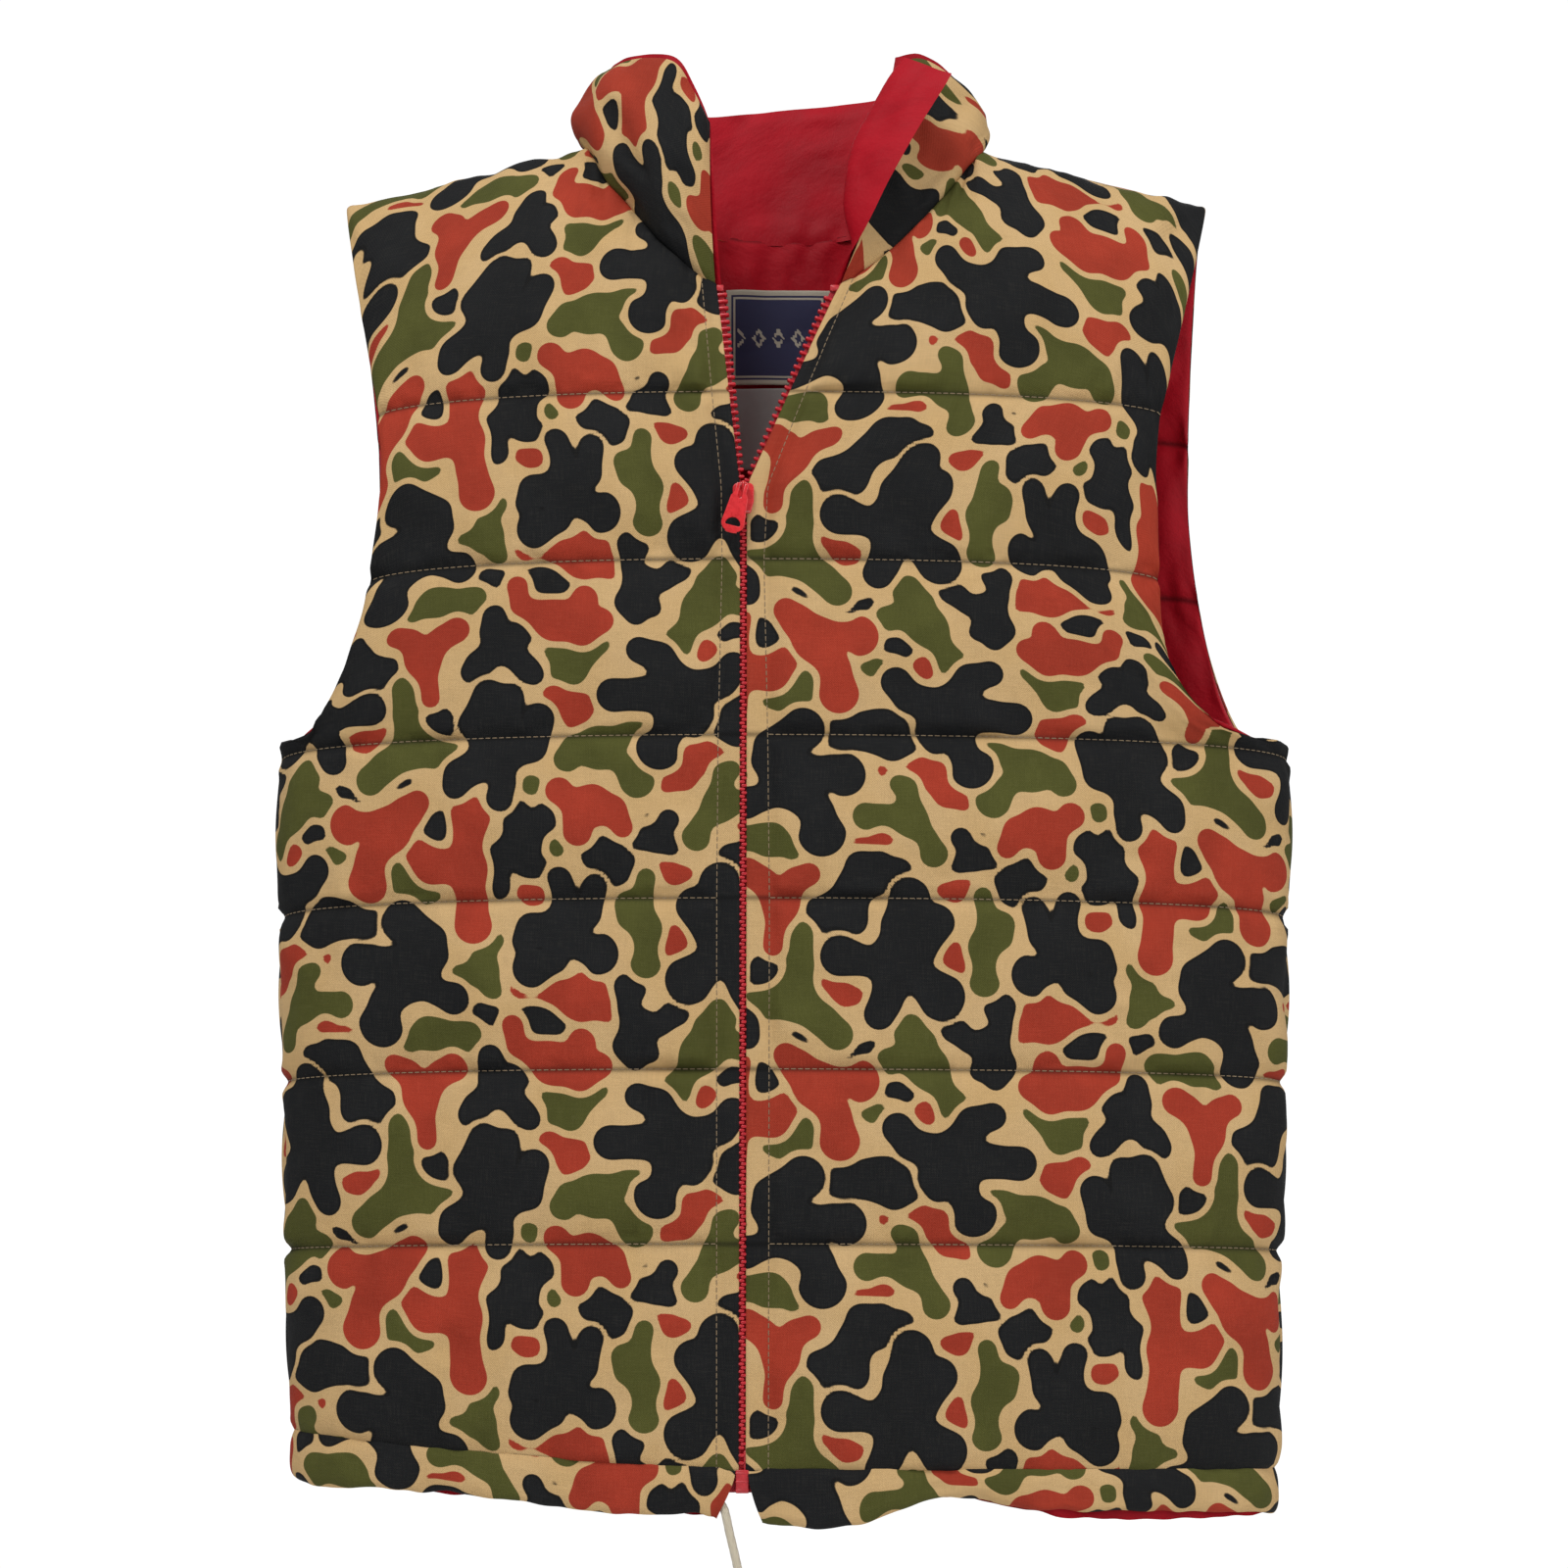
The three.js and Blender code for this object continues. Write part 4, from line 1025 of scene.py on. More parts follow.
simulate()
SURFACES = finished_surfaces()

# ---- Showing a surface ----

SHELL_FILL = 0.65
LINING_FILL = 0.55
COLLAR_FILL = 0.5
HEM_FILL = 0.2
# How wide the painted shade along each quilt line is
PAINTED_FOLD_SHADE_WIDTH = 0.0016
# How far ahead of the shell's front edge and how far under it each added column of points lies
EDGE_FOLD = [(-0.0030, 0.0011), (-0.0002, 0.0010), (0.0003, 0.0005)]
FOLDED_COLUMNS = len(EDGE_FOLD)
LIP_REACH = 0.008
PRINT_SHIFTS = {
    "front_right": (0.031, 0.04),
    "front_left": (0.17, 0.155),
    "back": (0.06, 0.21),
    "collar": (0.11, 0.09),
}


def show(name, mesh, material):
    obj = bpy.data.objects.new(name, mesh)
    scene.collection.objects.link(obj)
    mesh.materials.append(material)
    mesh.polygons.foreach_set("use_smooth", np.ones(len(mesh.polygons), bool))
    mesh.update()
    return obj


def declare(obj, slot, body, *nodes):
    """Attaches a piece to the body it moves with and hides the CAD nodes it stands in for. What it is made of
    (slot) is not used.
    """
    if body:
        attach(obj, body)
    if nodes:
        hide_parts(*nodes)
    return obj


def add_float(mesh, name, values):
    attribute = mesh.attributes.new(name, "FLOAT", "POINT")
    attribute.data.foreach_set("value", np.asarray(values, np.float32).reshape(-1))


def add_cloth(mesh, cloth, shift=(0.0, 0.0)):
    """Keeps the flat cloth coordinates on the points."""
    flat = np.zeros((cloth.shape[0] * cloth.shape[1], 3), np.float32)
    flat[:, :2] = cloth.reshape(-1, 2) + np.array(shift)
    attribute = mesh.attributes.new("cloth", "FLOAT_VECTOR", "POINT")
    attribute.data.foreach_set("vector", flat.reshape(-1))
    return flat


def show_cloth(name, surface, inner, body, shift, fill, *nodes):
    """Printed shell or red lining over a grid of points, as one side of a filled pad. How full the pad is
    (fill) is not used.
    """
    points, cloth, outward = surface
    mesh = grid_mesh(name, points)
    middle = len(mesh.polygons) // 2
    facing = Vector(outward[points.shape[0] // 2, points.shape[1] // 2])
    if mesh.polygons[middle].normal.dot(facing) < 0:
        mesh.flip_normals()
    flat = add_cloth(mesh, cloth, shift)
    if not inner:
        for kind in PRINT_KINDS:
            add_float(mesh, kind, sample_print(kind, flat[:, 0], flat[:, 1]))
    obj = show(name, mesh, LINING if inner else SHELL)
    declare(obj, "lining_red" if inner else "shell_print", body, *nodes)
    return obj


def fold_front_edge(points, cloth, outward):
    """Turns the shell's edge beside the zip back on itself, as sewn cloth is."""
    edge = points[:, :1]
    ahead = unit(edge - points[:, 1:2])
    out = outward[:, :1]
    folds = [edge + ahead * step - out * depth for step, depth in EDGE_FOLD]
    before = [cloth[:, :1] - [0.001 * column, 0] for column in range(FOLDED_COLUMNS, 0, -1)]
    return (
        np.concatenate([*folds, points], axis=1),
        np.concatenate([*before, cloth], axis=1),
        np.concatenate([out] * FOLDED_COLUMNS + [outward], axis=1),
    )


def paint_fold_shade(obj, grid, shape, skipped):
    """Marks how near each point of a quilted cloth is to a quilt line, leaving out the first columns, for the
    painted shade there.
    """
    near = np.exp(-(seam_distance(grid, shape[0]) / PAINTED_FOLD_SHADE_WIDTH) ** 2)
    fold = np.repeat(near[:, None], shape[1], axis=1)
    fold[:, :skipped] = 0
    add_float(obj.data, "fold", fold)


def show_panels():
    for panel, grid in GRIDS.items():
        surface = SURFACES[f"{panel}_shell"]
        folded = 0 if panel == "back" else FOLDED_COLUMNS
        if folded:
            surface = fold_front_edge(*surface)
        stands_for = [f"{panel}_shell"] + [f"{panel}_down_{k}" for k in range(1, len(LINE_HEIGHTS) + 1)]
        shift = PRINT_SHIFTS[panel]
        shell = show_cloth(f"{panel}_outer", surface, False, "vest", shift, SHELL_FILL, *stands_for)
        paint_fold_shade(shell, grid, surface[0].shape, folded)
        surface = SURFACES[f"{panel}_lining"]
        lining = show_cloth(f"{panel}_inner", surface, True, "vest", (0, 0), LINING_FILL, f"{panel}_lining")
        paint_fold_shade(lining, grid, surface[0].shape, 0)


def spread_edges(points, below, beyond):
    """Draws the cloth's edges out: over the seam at the base, and past the other cloth elsewhere."""
    points = points.copy()
    edges = [(0, True, below), (0, False, beyond), (1, True, beyond), (1, False, beyond)]
    for axis, at_start, amount in edges:
        lines = np.moveaxis(points, axis, 0)
        lines = lines if at_start else lines[::-1]
        outward = unit(lines[0] - lines[3])
        away = np.cumsum(np.linalg.norm(np.diff(lines, axis=0, prepend=lines[:1]), axis=2), axis=0)
        lines += outward[None] * (amount * np.clip(1 - away / LIP_REACH, 0, 1) ** 2)[..., None]
    return points


def show_collar():
    """Three pieces that share their end points. The back piece moves with the vest; the wings do not."""
    cuts = [int(np.argmin(np.abs(COLLAR_SHARES - share))) for share in (WING_SHARE, 1 - WING_SHARE)]
    parts = [
        ("collar_right_wing", "collar_right", 0, cuts[0]),
        ("collar_back", None, *cuts),
        ("collar_left_wing", "collar_left", cuts[1], COLLAR.points.shape[1] - 1),
    ]
    for name, body, start, end in parts:
        for side, inner in (("shell", False), ("lining", True)):
            points, cloth, outward = SURFACES[f"collar_{side}"]
            points = spread_edges(points, COLLAR_LIP, COLLAR_LIP if inner else 0.0)
            times = (points.shape[1] - 1) // (COLLAR.points.shape[1] - 1)
            part = slice(start * times, end * times + 1)
            surface = [values[:, part] for values in (points, cloth, outward)]
            stands_for = [f"{name}_lining"] if inner else [f"{name}_shell", f"{name}_down"]
            title = f"{name}_{'inner' if inner else 'outer'}"
            rides = None if body else "vest"
            obj = show_cloth(title, surface, inner, rides, PRINT_SHIFTS["collar"], COLLAR_FILL, *stands_for)
            if body == "collar_right":
                blend_wing(obj)
            if body == "collar_left":
                blend_wing(obj)


def blend_wing(obj):
    """Bakes the wing's transform into its points."""
    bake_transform(obj)


show_panels()
show_collar()

# ---- Many copies of one small shape in one mesh ----


def copies_mesh(name, shape, faces, places, frames):
    """One mesh with the shape at every place. A frame holds three unit vectors for the shape's own axes."""
    points = places[:, None, :] + np.einsum("vk,nkx->nvx", shape, frames)
    first = np.arange(len(places))[:, None] * len(shape)
    corners = np.concatenate([np.array(face) for face in faces])
    sizes = np.tile([len(face) for face in faces], len(places))
    return mesh_of(name, points.reshape(-1, 3), (first + corners[None]).reshape(-1), sizes)


def stacked_shape(rings):
    """Points and faces of a closed shape made of rings with the same number of points, in order."""
    size = len(rings[0])
    points = np.array([point for ring in rings for point in ring])
    faces = []
    for k in range(len(rings) - 1):
        for j in range(size):
            following = (j + 1) % size
            faces.append((k * size + j, k * size + following, (k + 1) * size + following, (k + 1) * size + j))
    last = (len(rings) - 1) * size
    faces.append(tuple(range(size))[::-1])
    faces.append(tuple(range(last, last + size)))
    return points, faces


# ---- Stitches ----

STITCH_LENGTH = 0.0026
STITCH_PITCH = 0.0034
STITCH_LIFT = 0.00012
THREAD_RADIUS = 0.00024
THREAD_FLATNESS = 1.2
STITCH_SIGHT = 0.0008


def stitch_shape():
    rings = []
    for along, size in ((-0.5, 0.3), (-0.36, 0.9), (0.36, 0.9), (0.5, 0.3)):
        ring = []
        for angle in 2 * math.pi * np.arange(5) / 5:
            across = THREAD_RADIUS * size * math.cos(angle) * THREAD_FLATNESS
            ring.append((along * STITCH_LENGTH, across, THREAD_RADIUS * size * math.sin(angle)))
        rings.append(ring)
    return stacked_shape(rings)


def stitch_frames(line, outward):
    """Places and frames of the stitches along a line of points."""
    lengths = lengths_along(line)
    stops = np.arange(STITCH_PITCH / 2, lengths[-1], STITCH_PITCH)
    places = at_lengths(stops, lengths, line)
    ahead = unit(at_lengths(stops + STITCH_SIGHT, lengths, line) - places)
    side = unit(np.cross(at_lengths(stops, lengths, outward), ahead))
    up = np.cross(ahead, side)
    return places + up * STITCH_LIFT, np.stack([ahead, side, up], axis=1)


def sew_panels():
    """Stitches along the quilt lines, and down beside the zip."""
    shape, faces = stitch_shape()
    for panel, grid in GRIDS.items():
        points, _, outward = SURFACES[f"{panel}_shell"]
        row_times = (points.shape[0] - 1) // (grid.points.shape[0] - 1)
        column_times = (points.shape[1] - 1) // (grid.points.shape[1] - 1)
        first = 0 if panel == "back" else PLACKET_COLUMNS * column_times
        rows = [row * row_times for row in grid.seam_rows[1:]]
        lines = [(points[row, first:], outward[row, first:]) for row in rows]
        if panel != "back":
            lines.append((points[1:, first], outward[1:, first]))
        places, frames = (np.concatenate(parts) for parts in zip(*[stitch_frames(*line) for line in lines]))
        name = f"{panel}_stitches"
        declare(show(name, copies_mesh(name, shape, faces, places, frames), THREAD), "zip_tape", "vest")


sew_panels()

# ---- Hem casing ----

# The casing's section, down in front of its cord and up behind it: how far out, how far up
CASING_FRONT = [
    (0.0014, 0.0016), (0.0026, -0.0014), (0.0034, -0.0050), (0.0036, -0.0090), (0.0037, -0.0140),
    (0.0032, -0.0180), (0.0018, -0.0208), (0.0000, -0.0216), (-0.0014, -0.0206),
]
CASING_BEHIND = [
    (-0.0014, -0.0206), (-0.0026, -0.0180), (-0.0032, -0.0120), (-0.0028, -0.0060), (-0.0014, -0.0010),
    (-0.0010, 0.0010),
]
CASING_END = {"front_right": ZIP_X - 0.0032, "front_left": ZIP_X + 0.0026}
CASING_STEP = 0.0016
HEM_AROUND = float(body_half_width(CASING_Z))
# Swellings of the front casing's foot: how far it hangs, where its middle is, how wide it is
HEM_BULGE = (0.0045, 0.022, 0.026)
HEM_RUCK = (0.0120, 0.084, 0.034)
HEM_TIP = (0.0050, -0.003, 0.005)
LINING_RUCK_SHARE = 0.5
HEM_GATHER = 0.0004
HEM_FOOT_GATHER = 0.0006
HEM_WAVE = 0.0018
HEM_SETTLE = 0.012
CASING_SLANT = {-1: -0.0090, 1: 0.0070}
CASING_SLANT_REACH = 0.022
CASING_SLANT_POWER = 1.4


def hem_line(turn, side):
    """The casing's seam, from -90 degrees at the right side to 90 at the left."""
    x = np.sign(turn) * HEM_AROUND * np.abs(np.sin(turn)) ** (2 / SIDE_ROUNDNESS)
    if side < 0:
        hand = np.where(x < ZIP_X, -1, 1)
        edge = front_edge_x(CASING_Z, hand)
        across = (x - edge) / (hand * HEM_AROUND - edge)
    else:
        across = np.abs(x) / HEM_AROUND
    share = np.arcsin(np.clip(across, 0, 1)) * 2 / np.pi
    z = CASING_Z - QUILT_SAG * share ** 2
    return np.stack([x, wall_y(x, z, side), z + hem_lift(x, z)], axis=1)


def hem_turn(x):
    """The angle at which the seam is that far across."""
    return math.copysign(math.asin(min(1, (abs(x) / HEM_AROUND) ** (SIDE_ROUNDNESS / 2))), x)


def hem_stations(side, start_x, end_x, step):
    """Points along the hem at even steps, and the way out of the cloth at each."""
    ends = (hem_turn(start_x), hem_turn(end_x))
    fine = hem_line(np.linspace(*ends, 900), side)
    count = round(lengths_along(fine)[-1] / step)
    line = hem_line(even_shares(partial(hem_line, side=side), *ends, count), side)
    out = unit(np.cross(np.gradient(line, axis=0), [0, 0, 1]))
    out *= np.sign((out[:, 1] * side).sum())
    for index, x in ((0, start_x), (-1, end_x)):
        if abs(x) > 0.9 * HEM_AROUND:
            out[index] = [math.copysign(1, x), 0, 0]
    return line, out


def swelling(x, height, middle, width):
    return height * np.exp(-((x - middle) / width) ** 2)


def hem_crumple(x, side, inner):
    """How far the casing's foot hangs below level. Beside the zip it bulges, then it is rucked up."""
    if side > 0:
        return 0 * x
    bulge = swelling(x, *HEM_BULGE)
    ruck = swelling(x, *HEM_RUCK)
    if inner:
        return bulge - ruck * LINING_RUCK_SHARE + swelling(x, *HEM_TIP)
    return bulge - ruck


def slant_ends(x, down, side):
    """Both front ends of the casing slant away from the zip towards their foot."""
    if side > 0:
        return 0 * down * x[None]
    slants = []
    for hand, panel in ((-1, "front_right"), (1, "front_left")):
        near = np.clip(1 - np.abs(x - CASING_END[panel]) / CASING_SLANT_REACH, 0, 1)
        slants.append(CASING_SLANT[hand] * near ** 2)
    return down ** CASING_SLANT_POWER * np.where(x < ZIP_X, *slants)[None]


def smooth_path(places, times):
    """A smooth line through the places, with so many steps between each two."""
    return refined(np.repeat(np.array(places)[:, None], 2, axis=1), times, 1)[:, 0]


def hem_strip(name, profile, side, start_x, end_x, seed, inner, *nodes):
    """A strip of cloth round the hem with that section, gently gathered by its cord."""
    line, out = hem_stations(side, start_x, end_x, CASING_STEP)
    section = smooth_path(profile, 3)
    x = line[:, 0]
    settled = np.clip((HEM_AROUND - np.abs(x)) / HEM_SETTLE, 0, 1)
    wave = smooth_noise((8, len(line)), seed, 3, 22)[3] * settled
    gather = smooth_noise((len(section), len(line)), seed + 1, 3.0, 2.6) * settled
    down = np.clip(-section[:, 1:] / CASING_HEIGHT, 0, 1)
    outside = -1 if inner else 1
    lift = section[:, :1] + HEM_GATHER * (gather + wave[None]) * np.sin(np.pi * down) * outside
    foot = HEM_WAVE * wave + hem_crumple(x, side, inner)
    drop = section[:, 1:] - down * foot[None] + HEM_FOOT_GATHER * gather * down
    points = line[None] + out[None] * lift[..., None] + np.array([0, 0, 1]) * drop[..., None]
    points[..., 0] += slant_ends(x, down, side)
    cloth = np.stack(np.meshgrid(lengths_along(line), -lengths_along(section)), axis=2)
    normals = np.repeat(out[None] * outside, len(section), axis=0)
    shift = (0.02 + seed * 0.037, 0.013 * seed)
    show_cloth(name, (points, cloth, normals), inner, "vest", shift, HEM_FILL, *nodes)


def show_casing():
    strips = [
        ("front_right", -1, -HEM_AROUND, CASING_END["front_right"]),
        ("front_left", -1, CASING_END["front_left"], HEM_AROUND),
        ("back", 1, -HEM_AROUND, HEM_AROUND),
    ]
    for number, (panel, *reach) in enumerate(strips):
        hem_strip(f"hem_{panel}_outer", CASING_FRONT, *reach, 3 + number, False, f"hem_casing_{panel}")
        hem_strip(f"hem_{panel}_inner", CASING_BEHIND, *reach, 13 + number, True)


show_casing()

# ---- Zip ----

TOOTH_PITCH = 0.0036
ZIP_TOP_Z = FRONT_NECK_Z - 0.004
BOX_TOP_Z = -0.664
BOX_HEIGHT = 0.011
CAD_HALF_OPENING = 0.0042
TAPE_START = 0.0008
TAPE_WIDTH = 0.0122
TAPE_LENGTH = ZIP_TOP_Z - BOX_TOP_Z + BOX_HEIGHT
MILLIMETRE = 0.001
# Half of a tooth's outline in millimetres, from its foot to its head: how far from the head, how far up
TOOTH_OUTLINE = [
    (4.2, -0.8), (2.4, -0.85), (1.5, -0.5), (0.7, -0.82), (-0.6, -0.84), (-1.25, -0.5), (-1.4, 0),
]
# How far each layer of the tooth is from its middle, and its size there
TOOTH_LAYERS = [(-1.7, 0.62), (-1.45, 0.9), (-0.9, 1.0), (0.9, 1.0), (1.45, 0.9), (1.7, 0.62)]
TOOTH_OFFSET = 0.0004
FIRST_TOOTH_DROP = 0.0015
LAST_TOOTH_GAP = {-1: 0.0012, 1: 0.0112}


def chain_place(z, hand, offset=0.0):
    """A point of the zip at that height, with a sideways offset from the teeth's line."""
    z = np.asarray(z, float)
    share = np.maximum(0, (z - ZIP_PART_Z) / (FRONT_NECK_Z - ZIP_PART_Z))
    x = lerp(ZIP_X, OPEN_NECK_X[hand] - hand * CAD_HALF_OPENING, share) + hand * offset
    return np.stack([x, wall_y(x, z, -1), z], axis=-1)


def tooth_shape():
    """A moulded tooth: a round head, a waist and a foot that grips the tape. x reaches away from the head."""
    outline = TOOTH_OUTLINE + [(x, -z) for x, z in TOOTH_OUTLINE[-2::-1]]
    rings = []
    for depth, size in TOOTH_LAYERS:
        ring = [(x * (0.5 + 0.5 * size), depth, z * size) for x, z in outline]
        rings.append(np.array(ring) * MILLIMETRE)
    return stacked_shape(rings)


def bevelled(obj, width, segments):
    bevel = obj.modifiers.new("bevel", "BEVEL")
    bevel.width = width
    bevel.segments = segments
    return obj


def show_teeth(name, hand):
    """One side's row of teeth, half a pitch lower on the left so that the two rows mesh."""
    top = ZIP_TOP_Z - FIRST_TOOTH_DROP - (0 if hand < 0 else TOOTH_PITCH / 2)
    heights = np.arange(top, BOX_TOP_Z + LAST_TOOTH_GAP[hand], -TOOTH_PITCH)
    places = chain_place(heights, hand, TOOTH_OFFSET)
    ahead = unit(chain_place(heights + MILLIMETRE, hand) - chain_place(heights, hand))
    away = np.cross(ahead, [0, hand, 0])
    away = unit(away * np.sign(away[:, :1] * hand))
    frames = np.stack([away, np.cross(ahead, away), ahead], axis=1)
    mesh = copies_mesh(f"zip_chain_{name}", *tooth_shape(), places, frames)
    obj = bevelled(show(f"zip_chain_{name}", mesh, TOOTH), 0.00012, 1)
    declare(obj, "zip_teeth", "vest", f"zip_teeth_{name}")


def show_tape(name, hand):
    heights = np.linspace(ZIP_TOP_Z, ZIP_TOP_Z - TAPE_LENGTH, 240)
    offsets = TAPE_START + np.linspace(0, TAPE_WIDTH, 9)
    points = np.stack([chain_place(heights, hand, offset) for offset in offsets], axis=1)
    mesh = grid_mesh(f"zip_tape_{name}_cloth", points)
    add_cloth(mesh, np.stack(np.meshgrid(offsets, heights), axis=2))
    obj = declare(show(f"zip_tape_{name}_cloth", mesh, TAPE), "zip_tape", "vest", f"zip_tape_{name}")


def rounded_blocks(name, node, blocks, bevel_width):
    """A moulded piece of several blocks. Each has a rise and a size, as shares of the CAD node's box."""
    low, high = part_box(node)
    centre = (low + high) / 2
    size = high - low
    shape = bmesh.new()
    for rise, shares in blocks:
        place = Matrix.Translation(centre + Vector((0, 0, size.z * rise)))
        block = Matrix.Diagonal((*(part * share for part, share in zip(size, shares)), 1))
        bmesh.ops.create_cube(shape, size=1, matrix=place @ block)
    mesh = bpy.data.meshes.new(name)
    shape.to_mesh(mesh)
    shape.free()
    declare(bevelled(show(name, mesh, TOOTH), bevel_width, 3), "zip_teeth", "vest", node)


WHOLE = (0, (1, 1, 1))
STOP_BLOCKS = [WHOLE, (0, (0.7, 1.12, 0.7))]
BOX_BLOCKS = [WHOLE] + [(rise, (1.06, 1.08, 0.1)) for rise in (-0.36, 0, 0.36)]
PIN_BLOCKS = [WHOLE, (0.4, (1.25, 1.2, 0.14))]


def show_zip():
    for hand, name in ((-1, "right"), (1, "left")):
        show_teeth(name, hand)
        show_tape(name, hand)
        rounded_blocks(f"zip_stop_{name}", f"zip_top_stop_{name}", STOP_BLOCKS, 0.0006)
    rounded_blocks("zip_foot_box", "zip_retainer_box", BOX_BLOCKS, 0.0005)
    rounded_blocks("zip_foot_pin", "zip_insertion_pin", PIN_BLOCKS, 0.0004)


show_zip()

# ---- Slider and pull ----

SLIDER_PLATE = 0.0016
SLIDER_WEB_HEIGHT = 0.0068
RAIL_RADIUS = 0.00068
PULL_LEAN = math.radians(14)
PULL_THICKNESS = 0.0018
PULL_LENGTH = 0.0255
PULL_HALF_WIDTH = 0.0058
PULL_ARM = 0.0029
PULL_SLOT = 0.0011
PULL_RIM = 0.0020


def arc(centre_x, centre_z, radius, start, end, steps):
    angles = np.linspace(math.radians(start), math.radians(end), steps)
    return [(centre_x + radius * math.cos(a), centre_z + radius * math.sin(a)) for a in angles]


def mirrored(outline):
    """The outline's other half, from its last point back to its first."""
    return [(-x, z) for x, z in reversed(outline)]


def new_curve(name, dimensions, bevel, resolution):
    curve = bpy.data.curves.new(name, "CURVE")
    curve.dimensions = dimensions
    curve.bevel_depth = bevel
    curve.bevel_resolution = resolution
    return curve


def add_spline(curve, kind, places):
    spline = curve.splines.new(kind)
    spline.points.add(len(places) - 1)
    for point, place in zip(spline.points, places):
        point.co = (*place, 1)
    return spline


def mesh_from_curve(curve):
    holder = bpy.data.objects.new(curve.name, curve)
    scene.collection.objects.link(holder)
    mesh = bpy.data.meshes.new_from_object(holder)
    bpy.data.objects.remove(holder)
    return mesh


def plate(name, outlines, thickness, bevel, centre, turn=0.0):
    """A flat plate standing in the front, from one outer outline and its holes, with rounded edges."""
    curve = new_curve(name, "2D", bevel, 3)
    curve.fill_mode = "BOTH"
    curve.extrude = thickness / 2 - bevel
    curve.offset = -bevel
    for outline in outlines:
        add_spline(curve, "POLY", [(x, z, 0) for x, z in outline]).use_cyclic_u = True
    mesh = mesh_from_curve(curve)
    upright = Matrix.Rotation(turn, 4, "Y") @ Matrix.Rotation(math.pi / 2, 4, "X")
    mesh.transform(Matrix.Translation(centre) @ upright)
    return mesh


def show_enamelled(name, meshes, body, node):
    """The meshes as one enamelled piece, sharp where they meet at an angle."""
    shape = bmesh.new()
    for mesh in meshes:
        shape.from_mesh(mesh)
        bpy.data.meshes.remove(mesh)
    bmesh.ops.remove_doubles(shape, verts=shape.verts, dist=1e-6)
    mesh = bpy.data.meshes.new(name)
    shape.to_mesh(mesh)
    shape.free()
    obj = show(name, mesh, ENAMEL)
    split = obj.modifiers.new("split", "EDGE_SPLIT")
    split.split_angle = math.radians(50)
    declare(obj, "slider_enamel", body, node)


def show_slider():
    """Two plates with flanges along their edges, and between them the web that parts the teeth."""
    low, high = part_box("zip_slider")
    centre = (low + high) / 2
    half = (high.x - low.x) / 2
    top = high.z - centre.z
    foot = low.z - centre.z
    waist = foot + 0.006
    narrow = half * 0.72
    outline = [
        (-half, top - 0.0042),
        *arc(-half + 0.0026, top - 0.0034, 0.0026, 165, 75, 6),
        *arc(0, top - 0.0008, 0.0013, 150, 30, 6),
        *arc(half - 0.0026, top - 0.0034, 0.0026, 105, 15, 6),
        (half, top - 0.0042),
        (half * 0.98, waist),
        (narrow, foot + 0.0012),
        *arc(narrow - 0.001, foot + 0.001, 0.001, 0, -90, 4),
        *arc(-narrow + 0.001, foot + 0.001, 0.001, 270, 180, 4),
        (-narrow, foot + 0.0012),
        (-half * 0.98, waist),
    ]
    flange = [
        (half * 0.99, waist + 0.004),
        (half * 0.99, waist),
        (half * 0.73, foot + 0.0008),
        (half * 0.73 - 0.0011, foot + 0.0008),
        (half - 0.0012, waist),
        (half - 0.0012, waist + 0.004),
    ]
    meshes = []
    for side, y in ((-1, low.y + SLIDER_PLATE / 2), (1, high.y - SLIDER_PLATE / 2)):
        meshes.append(plate("slider_plate", [outline], SLIDER_PLATE, 0.00045, (centre.x, y, centre.z)))
        for edge in (mirrored(flange), flange):
            place = (centre.x, y - side * 0.0014, centre.z)
            meshes.append(plate("slider_flange", [edge], 0.0022, 0.0002, place))
    web_foot = top - SLIDER_WEB_HEIGHT
    web = [(-0.0004, top), (-0.0004, web_foot), (0.0004, web_foot), (0.0004, top)]
    meshes.append(plate("slider_web", [web], high.y - low.y - SLIDER_PLATE, 0.0001, centre))
    show_enamelled("slider_body", meshes, "slider", "zip_slider")


def show_rail():
    """The bar on the slider's face that the pull hangs on."""
    low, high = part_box("zip_slider_rail")
    x = (low.x + high.x) / 2
    middle = (low.z + high.z) / 2
    upper = [
        (x, high.y + 0.0004, high.z - 0.0005),
        (x, low.y + 0.0014, high.z - 0.0004),
        (x, low.y + 0.0006, high.z - 0.0014),
    ]
    lower = [(x, y, 2 * middle - z) for x, y, z in reversed(upper)]
    curve = new_curve("rail", "3D", RAIL_RADIUS, 4)
    curve.use_fill_caps = True
    spline = add_spline(curve, "NURBS", [*upper, (x, low.y + 0.0005, middle), *lower])
    spline.use_endpoint_u = True
    spline.order_u = 3
    spline.resolution_u = 8
    show_enamelled("slider_rail", [mesh_from_curve(curve)], "slider", "zip_slider_rail")


